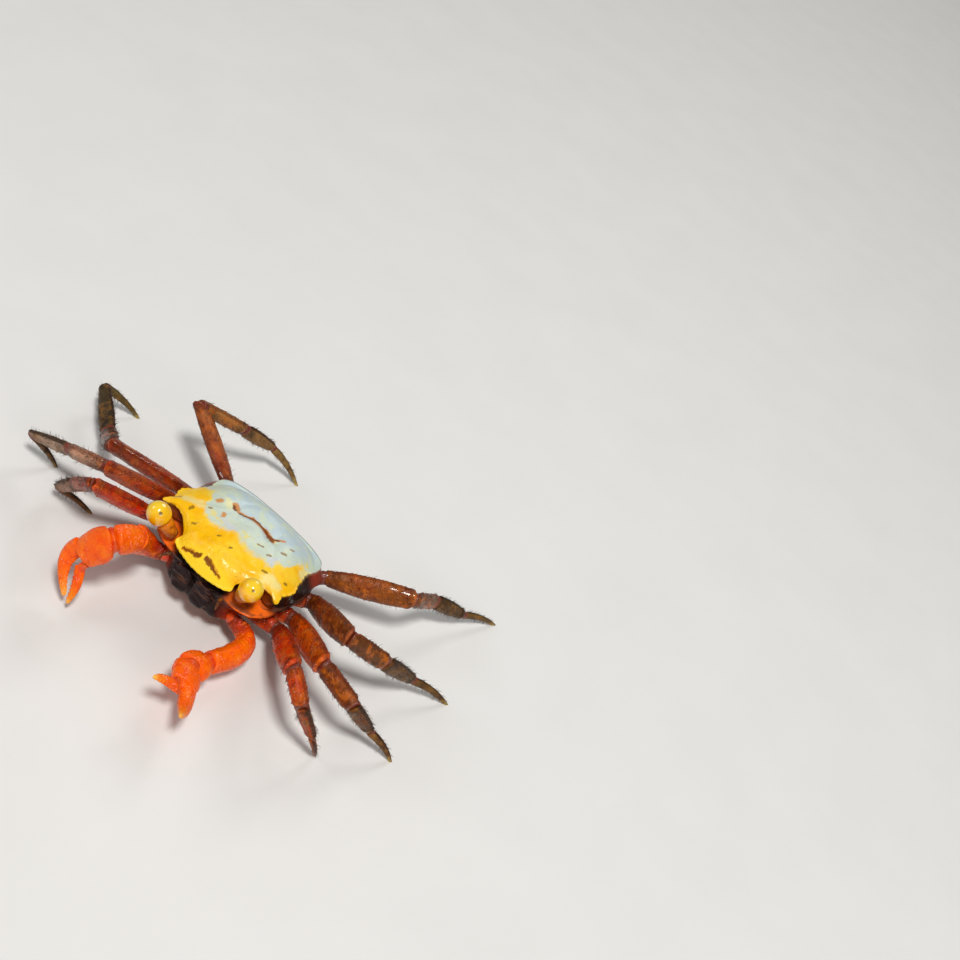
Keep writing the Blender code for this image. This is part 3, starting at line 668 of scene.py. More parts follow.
def mottle_group():
    """Cloudy mask with a set balance and edge."""
    bench, given, made = new_tree("Mottle", "Point Scale Balance Edge", "Mask")
    low, high = (bench.calc(way, given["Balance"], given["Edge"]) for way in ("SUBTRACT", "ADD"))
    bench.feed(made, {"Mask": bench.span(bench.cloud(given["Point"], given["Scale"], 4.0, 0.6), low, high)})
    return bench.tree


def pebble_group():
    """Small round grains of a given size, bunched where a cloud is thick."""
    bench, given, made = new_tree("Pebbles", "Point Size Coverage", "Height Mask")
    far = bench.cells(given["Point"], bench.calc("DIVIDE", 1.0, given["Size"]), 0.85)
    hollow = bench.calc("POWER", bench.calc("DIVIDE", far, 0.55, clamp=True), 2.0)
    dome = bench.calc("SUBTRACT", 1.0, hollow, clamp=True)
    thin = bench.calc("SUBTRACT", 1.0, given["Coverage"])
    low, high = (bench.calc(way, thin, 0.12) for way in ("SUBTRACT", "ADD"))
    height = bench.times(dome, bench.span(bench.cloud(given["Point"], 0.8), low, high))
    bench.feed(made, {"Height": height, "Mask": bench.span(height, 0.55, 0.9)})
    return bench.tree


def wet_group():
    """Roughness of a film of water that has run off in places."""
    bench, given, made = new_tree("Wet film", "Point Scale Wet Dry", "Roughness")
    dry = bench.span(bench.cloud(given["Point"], given["Scale"], 5.0, 0.65), 0.42, 0.66)
    run = bench.times(bench.calc("SUBTRACT", given["Dry"], given["Wet"]), dry)
    bench.feed(made, {"Roughness": bench.calc("ADD", given["Wet"], run)})
    return bench.tree


def drift_group():
    """A colour that drifts a little in hue and depth from place to place."""
    bench, given, made = new_tree("Colour drift", "Colour Point Scale Hue Depth", "Colour")
    moved = bench.vector("ADD", given["Point"], (13.0, 5.0, 9.0))
    clouds = (bench.cloud(given["Point"], given["Scale"], 3.0), bench.cloud(moved, given["Scale"], 5.0))
    hue, depth = (bench.times(bench.calc("SUBTRACT", cloud, 0.5), given[key])
                  for cloud, key in zip(clouds, ("Hue", "Depth")))
    bench.feed(made, {"Colour": bench.get("ShaderNodeHueSaturation", {
        "Hue": bench.calc("ADD", hue, 0.5), "Value": bench.calc("ADD", depth, 1.0), "Color": given["Colour"]})})
    return bench.tree


GROUPS = {"stroke": stroke_group(), "mottle": mottle_group(), "pebbles": pebble_group(), "wet": wet_group(),
          "drift": drift_group()}


def dab(colour):
    return colour if isinstance(colour, bpy.types.NodeSocket) else paint(*colour)


class Look(Bench):
    """A material's bench, with its shader's sockets, its point in the crab's own millimetres and its colour."""

    def __init__(self, name, coat, coat_roughness=0.06, level=0.5):
        self.material = bpy.data.materials.new(name)
        self.material.use_nodes = True
        super().__init__(self.material.node_tree)
        self.shader = self.tree.nodes["Principled BSDF"].inputs
        self.feed(self.shader, {"Coat Weight": coat, "Coat Roughness": coat_roughness,
                                "Specular IOR Level": level})
        self.point = self.get("ShaderNodeMapping", {
            "Vector": self.get("ShaderNodeTexCoord", out="Object"), "Scale": (1 / MM, 1 / MM, 1 / MM),
            "Location": tuple(-SHIFT)})
        self.colour = None

    def attribute(self, name, out="Fac"):
        return self.get("ShaderNodeAttribute", out=out, attribute_name=name)

    def stamp(self, group, values, out=0, point=None):
        """A shader group at the look's own point, or at another."""
        values["Point"] = self.point if point is None else point
        return self.get("ShaderNodeGroup", values, out, node_tree=GROUPS[group])

    def mottle(self, scale, balance, edge, point=None):
        return self.stamp("mottle", {"Scale": scale, "Balance": balance, "Edge": edge}, point=point)

    def drift(self, colour, scale, hue, depth):
        return self.stamp("drift", {"Colour": dab(colour), "Scale": scale, "Hue": hue, "Depth": depth})

    def pebbles(self, size, coverage, out="Height"):
        return self.stamp("pebbles", {"Size": size, "Coverage": coverage}, out)

    def film(self, scale, wet, dry):
        return self.stamp("wet", {"Scale": scale, "Wet": wet, "Dry": dry})

    def nudged(self, point, cloud, size):
        """A point moved by a coloured cloud, level with the floor."""
        push = self.vector("SUBTRACT", cloud, (0.5, 0.5, 0.5))
        return self.vector("ADD", point, self.vector("MULTIPLY", push, (size, size, 0.0)))

    def strokes(self, point, marks):
        """The strongest of several strokes at each place."""
        mask = None
        for start, end, width, softness in marks:
            one = self.stamp("stroke", {"Start": start + (0.0,), "End": end + (0.0,), "Width": width,
                                        "Softness": softness}, point=point)
            mask = one if mask is None else self.calc("MAXIMUM", mask, one)
        return mask

    def orbits(self):
        """Mask of the eye sockets, the same on both sides."""
        parts = self.parts(self.point)
        folded = self.joined(self.calc("ABSOLUTE", parts["X"]), parts["Y"], parts["Z"])
        return self.span(self.vector("DISTANCE", folded, (4.7, -4.4, -1.2), 1), 2.3, 1.3)

    def lay(self, share, colour, strength=None):
        """Paints a colour over what is there."""
        share = share if strength is None else self.times(share, strength)
        self.colour = self.blend(share, self.colour, dab(colour))

    def finish(self, roughness, *heights):
        """The material, with one bump from several heights in millimetres."""
        self.feed(self.shader, {"Base Color": self.colour, "Roughness": roughness})
        if heights:
            total = heights[0]
            for height in heights[1:]:
                total = self.calc("ADD", total, height)
            bump = self.get("ShaderNodeBump", {"Height": total, "Distance": MM, "Strength": 1.0})
            self.feed(self.shader, {"Normal": bump})
        return self.material


def limb_material(name, size, height, dark, pale, share, wet, dry, keel, coat, level, hue=0.03, depth=0.6):
    """Chitin over the piece's own tint: drifting colour, dark and light blotches, dark keel, and a painted
    highlight on the grain tops.
    """
    look = Look(name, coat, level=level)
    look.colour = look.drift(look.attribute("tint", "Color"), 0.9, hue, depth)
    look.lay(look.mottle(1.6, 1.0 - share, 0.10), dark, 0.55)
    look.lay(look.mottle(1.1, 0.57, 0.10, look.vector("ADD", look.point, (31.0, 17.0, 23.0))), pale, 0.55)
    look.lay(look.mottle(5.0, 0.66, 0.05), dark, 0.5)
    look.lay(look.span(look.attribute("rise"), 0.74, 0.92), dark, keel)
    # Painted highlight: the tops of the grains get a brighter, paler copy of the colour.
    light = look.get("ShaderNodeHueSaturation", {"Saturation": 0.82, "Value": 1.5, "Color": look.colour})
    look.lay(look.pebbles(size, 0.52, "Mask"), light, 0.55)
    return look.finish(look.film(1.3, wet, dry), look.times(look.pebbles(size, 0.52), height),
                       look.times(look.cloud(look.point, 6.0, 6.0, 0.6), 0.05))


def yellow_edge(look, across):
    """Where the yellow ends, front to back, for each place across the shell."""
    curve = look.add("ShaderNodeFloatCurve", {"Value": look.span(across, -EDGE_SPAN, EDGE_SPAN, soft=False)})
    places = [((x + EDGE_SPAN) / (2 * EDGE_SPAN), (y + EDGE_SPAN) / (2 * EDGE_SPAN)) for x, y in YELLOW_EDGE]
    points = curve.mapping.curves[0].points
    points[0].location, points[1].location = places[0], places[-1]
    for place in places[1:-1]:
        points.new(*place)
    curve.mapping.update()
    return look.span(curve.outputs[0], 0.0, 1.0, -EDGE_SPAN, EDGE_SPAN, soft=False)


def shell_material():
    """Enamel-like carapace: yellow front, pale blue-white rear, brown marks, dark walls."""
    look = Look("shell enamel", 0.12, 0.10, 0.25)
    back = look.parts(look.point)["Y"]
    wobble = look.cloud(look.point, 1.1, 5.0, 0.65, out=1)
    moved = look.nudged(look.point, wobble, 1.5)
    parts = look.parts(moved)
    beyond = look.calc("SUBTRACT", parts["Y"], yellow_edge(look, parts["X"]))
    look.colour = look.drift((250, 188, 0), 0.7, 0.04, 0.30)
    look.lay(look.mottle(0.55, 0.52, 0.12), (255, 216, 60), 0.55)
    look.lay(look.span(back, -5.0, -5.7), (254, 214, 44))
    front = look.colour
    look.colour = look.drift((200, 212, 196), 0.6, 0.05, 0.25)
    look.lay(look.span(beyond, 1.2, 4.2), (188, 206, 210))
    look.lay(look.mottle(0.9, 0.56, 0.10), (214, 222, 180), 0.6)
    look.colour = look.blend(look.span(beyond, -0.35, 0.45), front, look.colour)
    near_edge = look.times(look.span(beyond, -1.2, 0.0), look.span(beyond, 1.9, 0.3))
    look.lay(look.mottle(1.5, 0.60, 0.06, moved), (240, 214, 90), near_edge)
    nudged = look.nudged(look.point, wobble, 0.35)
    nudged = look.nudged(nudged, look.cloud(look.point, 5.0, 3.0, out=1), 0.20)
    for marks, point, colour, strength in (
            (CREAM_MARKS, moved, (238, 230, 160), 0.65), (LILAC_MARKS, moved, (206, 204, 226), 0.45),
            (ORANGE_MARKS, nudged, (206, 128, 8), 0.85), (SPOT_MARKS, nudged, (140, 106, 22), 0.85),
            (DARK_MARKS, nudged, (116, 54, 4), 0.9)):
        mask = look.strokes(point, marks)
        look.lay(mask, colour, strength)
    walls = look.blend(look.span(back, 1.2, 2.6), look.drift((30, 14, 10), 1.3, 0.05, 1.0),
                       look.drift((132, 48, 28), 1.1, 0.04, 0.8))
    walls = look.blend(look.orbits(), walls, paint(140, 64, 14))
    look.lay(look.span(look.attribute("wall"), 0.30, 0.55), walls)
    pits = look.span(look.cells(look.point, 3.2), 0.0, 0.22, -0.03, 0.0)
    grains = look.times(look.pebbles(0.22, 0.46), look.span(back, -2.0, -4.0, 0.2, 1.0), 0.03)
    return look.finish(look.film(0.8, 0.30, 0.52), pits, look.times(look.cloud(look.point, 4.0, 6.0), 0.03),
                       look.times(mask, -0.05), grains)


def face_material():
    """Dark wet face and side walls, orange beside the eyes, red-brown patches below them and a bright orange
    ledge band, partly own colour, partly painted highlight.
    """
    look = Look("face chitin", 0.14, 0.10, 0.12)
    parts = look.parts(look.point)
    look.colour = look.drift((30, 13, 14), 0.9, 0.08, 1.2)
    look.lay(look.orbits(), (170, 74, 14))
    # The ledge band below the eyes is bright orange: partly its own colour, partly a painted highlight on the
    # ledge's top.
    ledge = look.times(look.span(parts["Z"], -1.7, -1.9), look.span(parts["Z"], -2.8, -2.45),
                       look.span(parts["Y"], -2.2, -3.6))
    red_brown_and_ledge_highlight = look.blend(ledge, look.drift((156, 52, 12), 1.2, 0.04, 0.8), paint(255, 112, 20))
    low = look.calc("MAXIMUM", look.span(parts["Z"], -2.1, -2.9), ledge)
    patches = look.calc("ADD", look.times(look.mottle(1.1, 0.44, 0.14), 0.4), 0.6)
    look.lay(look.times(look.span(look.calc("ABSOLUTE", parts["X"]), 2.6, 4.0), low, patches), red_brown_and_ledge_highlight)
    look.lay(look.span(parts["Z"], -5.1, -5.55), look.drift((176, 132, 112), 0.8, 0.05, 0.6))
    streaks = look.cloud(look.vector("MULTIPLY", look.point, (0.5, 0.5, 4.0)), 1.0, 3.0)
    look.lay(look.span(streaks, 0.52, 0.64, 0.0, 0.75), (98, 60, 42), look.span(parts["Z"], -4.2, -3.2))
    return look.finish(look.film(1.5, 0.28, 0.6), look.times(look.pebbles(0.20, 0.75), 0.02),
                       look.times(look.cloud(look.point, 5.0, 6.0), 0.05))


def tail_material():
    """Folded tail: red-brown plates with darker seams."""
    look = Look("tail plates", 0.35)
    look.colour = look.drift((132, 62, 42), 0.9, 0.05, 0.7)
    look.lay(look.attribute("seam"), (62, 32, 28), 0.8)
    look.lay(look.mottle(1.4, 0.58, 0.08), (88, 44, 38), 0.6)
    return look.finish(look.film(1.5, 0.25, 0.5), look.times(look.cloud(look.point, 5.0, 6.0), 0.05))


def eye_material(side, centre, axis):
    """Glossy yellow cornea with a small dark fleck and faint facets, orange towards the stalk and a painted
    highlight on its top.
    """
    look = Look("eye " + side, 1.0, 0.02)
    look.colour = look.drift((250, 184, 0), 0.9, 0.05, 0.3)
    height = look.vector("DOT_PRODUCT", look.vector("SUBTRACT", look.point, tuple(centre)), tuple(axis), 1)
    look.lay(look.span(height, -0.35, -0.85), (214, 106, 10))
    # Painted highlight: the eye's top is painted a lighter yellow.
    look.lay(look.span(height, 0.3, 1.0, 0.0, 0.5), (255, 228, 60))
    fleck = centre + (Vector(CAMERA_BACK) + Vector((0.32, 0.10, 0.30))).normalized() * EYE_RADIUS
    look.lay(look.span(look.vector("DISTANCE", look.point, tuple(fleck), 1), 0.22, 0.10), (70, 40, 10), 0.85)
    return look.finish(look.span(look.cloud(look.point, 2.0), 0.3, 0.7, 0.06, 0.14),
                       look.times(look.cells(look.point, 14.0), 0.006))


def joint_material(name, colour):
    """Soft folded skin in the joints."""
    look = Look(name, 0.2)
    look.colour = look.drift(colour, 1.5, 0.05, 0.8)
    folds = look.cloud(look.point, 5.0, 4.0)
    return look.finish(look.span(folds, 0.3, 0.7, 0.25, 0.45), look.times(folds, 0.08))


def bristle_material():
    """Horny bristles, brown with amber in the light ones."""
    look = Look("bristles", 0.2)
    cloud = look.cloud(look.point, 2.2)
    look.colour = look.blend(look.span(cloud, 0.35, 0.65), paint(34, 20, 12), paint(96, 62, 30))
    return look.finish(look.span(cloud, 0.3, 0.7, 0.3, 0.5))


CLAW = limb_material("claw chitin", 0.24, 0.02, (228, 56, 0), (255, 128, 4), 0.42, 0.24, 0.50, 0.0, 0.10, 0.20,
                     hue=0.012, depth=0.25)
LEG = limb_material("leg chitin", 0.24, 0.10, (82, 26, 8), (214, 112, 34), 0.42, 0.20, 0.50, 0.50, 0.24, 0.15)
TOE = limb_material("toe chitin", 0.20, 0.05, (44, 24, 10), (150, 104, 44), 0.44, 0.26, 0.55, 0.85, 0.10, 0.12)
STALK = limb_material("stalk chitin", 0.20, 0.04, (110, 46, 6), (236, 150, 24), 0.40, 0.20, 0.45, 0.2, 0.2, 0.2)
SHELL = shell_material()
FACE = face_material()
TAIL = tail_material()
JOINT = joint_material("joint skin", (112, 44, 24))
CLAW_JOINT = joint_material("claw joint skin", (226, 76, 2))
BRISTLE = bristle_material()


# Body pieces


def shell():
    """The carapace: crown with its swellings and furrows, toothed margin and turned-in walls."""
    rim = refine(mirrored(CARAPACE_RIM), RIM_STEPS, closed=True)
    even = evened(rim, RIM_EVENING)
    x, y = rim[:, 0], rim[:, 1]
    run = np.cumsum(np.hypot(np.diff(x, prepend=x[-1]), np.diff(y, prepend=y[-1])))
    lateral = ramp(np.abs(x), 4.6, 0.4) * ramp(y, -4.6, 0.3) * ramp(-y, -3.0, 0.6)
    teeth = lateral * (0.11 * np.abs(np.sin(np.pi * run / SIDE_TOOTH_PITCH)) - 0.05)
    teeth += ramp(-y, 5.3, 0.4) * (0.07 * np.abs(np.sin(np.pi * run / FRONT_TOOTH_PITCH)) - 0.03)
    reach = np.hypot(x - CARAPACE_CENTRE[0], y - CARAPACE_CENTRE[1])
    teeth /= reach
    rows, walls = [], []
    for n in range(1, CROWN_RINGS + 1):
        share = (n / CROWN_RINGS) ** 0.85
        line = even + (rim - even) * min(max((share - 0.45) / 0.55, 0.0), 1.0) ** 1.8
        ring = scaled_ring(line, share * (1.0 + teeth * share ** 6))
        ring[:, 2] = crown(ring[:, 0], ring[:, 1], share, line[:, 2], even)
        rows.append(ring)
        walls.append(0.0 if share < 0.985 else 0.12)
    edge = rows[-1][:, 2]
    for drop in (n / WALL_RINGS for n in range(1, WALL_RINGS + 1)):
        keep = 1.0 - (1.0 - rim[:, 3]) * (drop * 1.08 - 0.08 * drop ** 2)
        ring = scaled_ring(rim, keep * (1.0 - 0.004 * (1 - drop) ** 4) * (1.0 + teeth * (1.0 - drop) ** 2))
        ring[:, 2] = edge + (CARAPACE_FLOOR - edge) * drop
        bumps = 0.06 * rough(ring, 1.6, 11) * (1 - drop) * drop * 4 / reach
        ring[:, :2] += (ring[:, :2] - CARAPACE_CENTRE) * bumps[:, None]
        rows.append(ring)
        walls.append(0.4 + 0.6 * drop)
    for share in (0.94, 0.75, 0.45, 0.15):
        rows.append(drawn_in(ring, share) + (0.0, 0.0, 0.05))
        walls.append(1.0)
    grid = np.array(rows)
    wall = np.array(walls)[:, None] + np.zeros(grid.shape[:2])
    build("shell", grid, SHELL, "shell", "carapace", {"wall": wall})


def scaled_ring(line, share):
    """A line about the shell's centre, each point's reach taken by its own share."""
    cx, cy = CARAPACE_CENTRE
    return np.stack([cx + (line[:, 0] - cx) * share, cy + (line[:, 1] - cy) * share, line[:, 2]], axis=1)


def evened(rows, width):
    """A closed outline with its small corners averaged away."""
    shares = {step: math.exp(-(step / width) ** 2) for step in range(-2 * width, 2 * width + 1)}
    return sum(np.roll(rows, step, axis=0) * share for step, share in shares.items()) / sum(shares.values())


def crown(x, y, share, margin, even):
    """Height of the crown: dome, swellings, furrows and fine unevenness, falling to the margin at the rim."""
    cx, cy = CARAPACE_CENTRE
    angles = np.arctan2(even[:, 1] - cy, even[:, 0] - cx)
    order = np.argsort(angles)
    here = np.arctan2(y - cy, x - cx)
    full, level = (np.interp(here, angles[order], values[order], period=2 * np.pi)
                   for values in (np.hypot(even[:, 0] - cx, even[:, 1] - cy), even[:, 2]))
    reach = np.minimum(np.hypot(x - cx, y - cy) / full, 1.03)
    steep = SIDE_STEEPNESS + (FRONT_STEEPNESS - SIDE_STEEPNESS) * (np.maximum(0.0, -y) / 6.0) ** 2
    steep = steep + (REAR_STEEPNESS - SIDE_STEEPNESS) * (np.maximum(0.0, y) / 6.0) ** 1.5
    height = CARAPACE_CROWN - (CARAPACE_CROWN - level) * reach ** steep
    height = height + (margin - height) * min(max((share - 0.93) / 0.07, 0.0), 1.0) ** 2
    inner = 1.0 - share ** 10
    for px, py, rx, ry, rise in SWELLINGS:
        height = height + rise * inner * np.exp(-(((np.abs(x) - px) / rx) ** 2 + ((y - py) / ry) ** 2))
    for path, width, depth in FURROWS:
        height = height - depth * inner * bell(near_path(np.abs(x), y, path), 0.0, width)
    points = np.stack([x, y, height], axis=1)
    uneven = 0.05 * rough(points, 0.55, 1) + 0.022 * rough(points, 1.9, 2)
    height = height + inner * np.clip((2.0 - y) / 5.0, 0.25, 1.0) * uneven
    grains = np.maximum(0.0, rough(points, 3.4, 3)) ** 2
    return height + 0.16 * grains * ramp(-y, 1.5, 2.5) * inner


def outline_reach(outline, angle):
    """How far an outline lies from the body's middle in one direction."""
    dx, dy = math.cos(angle), math.sin(angle)
    points = [(row[0] - CARAPACE_CENTRE[0], row[1] - CARAPACE_CENTRE[1]) for row in outline]
    best = 0.0
    for (ax, ay), (bx, by) in zip(points, points[1:] + points[:1]):
        ex, ey = bx - ax, by - ay
        det = dx * ey - dy * ex
        if abs(det) >= 1e-9 and -1e-9 <= (ax * dy - ay * dx) / det <= 1 + 1e-9:
            best = max(best, (ax * ey - ay * ex) / det)
    return best


def underbody():
    """Face, side walls and breastplate, with seams between the leg bases."""
    angles = np.array(turns(UNDERBODY_SPOKES))
    levels = []
    for level, half in UNDERBODY_LEVELS:
        reach = np.array([outline_reach(mirrored(half), angle) for angle in angles])
        smooth = (np.roll(reach, 1) + 2 * reach + np.roll(reach, -1)) / 4
        levels.append(np.stack([smooth * np.cos(angles), smooth * np.sin(angles) + CARAPACE_CENTRE[1],
                                np.full(UNDERBODY_SPOKES, level)], axis=1))
    top = drawn_in(levels[0], 0.97, (0.0, 0.0))
    top[:, 2] = UNDERBODY_TOP
    grid = refine([top] + levels, 7)
    out = (grid - (0.0, CARAPACE_CENTRE[1], 0.0)) * (1.0, 1.0, 0.0)
    out /= np.linalg.norm(out, axis=2, keepdims=True)
    ledge = 0.12 * bell(grid[:, :, 2], -2.45, 0.16) - 0.10 * bell(grid[:, :, 2], -2.05, 0.14)
    depth = 0.07 * rough(grid, 0.9, 21) + 0.05 * rough(grid, 2.2, 22) + ramp(-grid[:, :, 1], 4.2, 0.8) * ledge
    grid = grid + out * depth[:, :, None]
    lid = [drawn_in(grid[0], share, (0.0, 0.0)) for share in (0.3, 0.7, 0.95)]
    inner = [seamed(drawn_in(grid[-1], share)) for share in (0.92, 0.82, 0.7, 0.56, 0.42, 0.28, 0.14)]
    whole = np.concatenate([lid, grid, inner])
    side = ramp(np.abs(whole[:, :, 0]), 2.8, 1.0) * ramp(-whole[:, :, 2], 2.3, 0.5)
    build("underbody_wall", whole, FACE, "underside", "underbody", growth=side, toward=(0.0, -0.3, -1.0))


def seamed(ring):
    """A ring of the breastplate, raised along the seams between the legs."""
    for seam in STERNUM_SEAMS:
        near = bell(ring[:, 1] - 0.12 * np.abs(ring[:, 0]), seam, 0.13)
        ring[:, 2] += 0.10 * near * np.clip(np.abs(ring[:, 0]) / 1.2, 0.0, 1.0)
    ring[:, 2] += 0.04 * rough(ring, 1.5, 23)
    return ring


def squared_ring(centre, outward, half_width, half_depth, power):
    """A flat ring across the body with squared-off sides."""
    return [centre + ACROSS * (math.copysign(abs(math.cos(turn)) ** power, math.cos(turn)) * half_width)
            + outward * (math.sin(turn) * half_depth) for turn in turns(PLATE_SIDES)]


def tail():
    """The folded tail in its plates, broad at the rear and narrow under the body."""
    path = [Vector((0.0, y, z)) for y, z, half_width in ABDOMEN_PATH]
    rings = [squared_ring(point, ACROSS.cross(way_at(path, n)), ABDOMEN_PATH[n][2], ABDOMEN_THICKNESS / 2, 0.6)
             for n, point in enumerate(path)]
    grid = refine(rings, 10)
    middle = grid.mean(axis=1)
    shares = travelled(middle) / travelled(middle)[-1]
    seam = np.max([bell(shares, place, 0.011) for place in ABDOMEN_SEAMS], axis=0)
    swell = np.zeros(len(shares))
    edges = (0.0,) + ABDOMEN_SEAMS + (1.0,)
    for low, high in zip(edges, edges[1:]):
        inside = (shares >= low) & (shares <= high)
        swell[inside] = 0.035 * np.sin(np.pi * (shares[inside] - low) / (high - low))
    out = grid - middle[:, None, :]
    grid = middle[:, None, :] + out * (1.0 + swell - 0.05 * seam)[:, None, None]
    grid = grid + out / np.linalg.norm(out, axis=2, keepdims=True) * (0.02 * rough(grid, 1.5, 31))[:, :, None]
    fringe = np.broadcast_to(np.abs(np.cos(turns(grid.shape[1]))) ** 8, grid.shape[:2])
    seam = np.broadcast_to(seam[:, None], grid.shape[:2])
    build("tail", grid, TAIL, "underside", "abdomen", {"seam": seam}, fringe, (0.0, 0.2, -1.0))


def mouth_plate(side):
    """An outer mouthpart: two joined plates with a seam and a raised inner rim."""
    rings = [squared_ring(sided((x, MOUTH_PLATE_Y, z), side), Vector((0.0, 1.0, 0.0)), half_width,
                          MOUTH_PLATE_THICKNESS / 2, 0.5) for z, x, half_width in MOUTH_PLATE]

    def relief(distance, total, turn, grid):
        slant = (np.abs(grid[:, :, 0]) - 1.16) * 0.2 + grid[:, :, 2]
        folds = np.abs(np.sin(slant * 3.9 + rough(grid, 0.8, 42))) ** 3
        seam = 0.02 * bell(distance / total, 0.46, 0.03)
        return 0.015 * rough(grid, 2.0, 41) - seam + np.clip(-np.sin(turn), 0.0, 1.0) * (0.09 * folds - 0.05)

    skin("mouthpart_" + side, rings, FACE, "underside", "mouth_plate_" + side, relief, 12,
         growth=lambda shares, turn: np.abs(np.cos(turn)) ** 6)


def eye(side):
    """The eye's smooth ellipsoid on its granular stalk."""
    foot = sided(STALK_FOOT, side)
    centre = Vector(EYE_CENTRE[side])
    axis = (centre - foot).normalized()
    reach = EYE_RADIUS * EYE_LENGTHENING
    top = centre - axis * (reach + GAP)
    path = [foot + (top - foot) * (n / 3) for n in range(3)] + [centre - axis * (reach - 0.25)]
    skin("stalk_" + side, round_rings(path, STALK_RADII, axis, STALK_SIDES), STALK, "stalk", "eyestalk_" + side,
         limb_relief(50, 0.0, 0.05), 10, (0.0, 0.0), STALK_TINTS)
    across = axis.orthogonal().normalized()
    along, across, over = (np.array(way) for way in (axis, across, axis.cross(across)))
    polar = np.pi * np.arange(1, EYE_RINGS)[:, None, None] / EYE_RINGS
    turn = np.array(turns(EYE_SIDES))[None, :, None]
    grid = np.array(centre) + np.sin(polar) * EYE_RADIUS * (across * np.cos(turn) + over * np.sin(turn))
    grid = grid - along * (np.cos(polar) * reach)
    pole = along * (reach * (1 - math.cos(math.pi / EYE_RINGS)) * 0.7)
    ends = (grid[0].mean(axis=0) - pole, grid[-1].mean(axis=0) + pole)
    caps = [end + (row - end) * 0.3 for end, row in zip(ends, (grid[0], grid[-1]))]
    grid = np.concatenate([caps[:1], grid, caps[1:]])
    build("eyeball_" + side, grid, eye_material(side, centre, axis), "eye", "eye_" + side)


def antenna(side):
    """The short antenna in its rings."""
    root, tip = sided(ANTENNA_ROOT, side), sided(ANTENNA_TIP, side)
    path = bezier(root, (root + tip) / 2 + UP * 0.25, tip, 5)

    def relief(distance, total, turn, grid):
        return -0.035 * np.abs(np.cos(np.pi * distance / 0.24)) ** 4

    rings = round_rings(path, ANTENNA_RADII, (tip - root).normalized(), ANTENNA_SIDES)
    skin("feeler_" + side, rings, STALK, "stalk", "antenna_" + side, relief, 14, (0.0, 0.3), ANTENNA_TINTS)


# Limbs


def joint_skin(name, joints, material, slot, fill):
    """Soft skin that fills each joint of a limb: short bent tubes a little narrower than the plates."""
    verts, faces = np.zeros((0, 3)), []
    for place, before, after, across, height, breadth in joints:
        upward = across.cross(joint_cut(before, after)).normalized()
        rings = []
        for s in (2 * n / (JOINT_RINGS - 1) - 1 for n in range(JOINT_RINGS)):
            centre = place + (before if s < 0 else after) * (s * JOINT_SKIN_REACH)
            swell = fill + 0.05 * (1 - s * s)
            wide, high = across * (breadth * swell), upward * (height * swell)
            rings.append([centre + wide * math.cos(t) + high * math.sin(t) for t in turns(JOINT_SIDES)])
        points, own = tube(np.array(rings))
        faces += [[len(verts) + k for k in face] for face in own]
        verts = np.concatenate([verts, points])
    settle(name, mesh_of(name, to_world(verts), faces, material), slot)


def leg_stops(pair, side, n):
    """Colours along one stretch of a leg: its own tint, with paler ends beside the joints."""
    own = LEG_TINTS[(pair, side)][n]
    pale = mixed(own, KNEE_PALE, 0.14)
    if n == TOE_STRETCH:
        return ((0.0, pale), (0.12, own), (0.75, own), (1.0, mixed(own, TOE_PALE, 0.7)))
    dark = scaled(own, 0.72)
    halfway = mixed(own, LEG_TINTS[(pair, side)][n + 1], 0.5)
    return ((0.0, pale), (0.07, dark), (0.30, own), (0.80, halfway), (0.93, dark), (0.97, pale), (1.0, pale))


def toe_relief(seed):
    """A groove along each side of a toe, fading before its tip."""
    def relief(distance, total, turn, grid):
        groove = bell(np.sin(turn), 0.0, 0.25) * np.sin(np.pi * np.clip(distance / total, 0.0, 1.0))
        return (0.012 * rough(grid, 2.0, seed) - 0.04 * groove) * ramp(total - distance, 0.0, 0.6)
    return relief


def bristle_growth(strength, end):
    """How thickly bristles stand on a stretch: in its rows along the edges, and clear of its far end."""
    def growth(shares, turn):
        rows = np.abs(np.sin(turn)) ** 5 + bell(np.abs(np.cos(turn)), 0.85, 0.08) * 0.5 + 0.06
        return strength * ramp(shares, 0.0, 0.08) * ramp(1.0 - shares, 0.0, end) * rows
    return growth


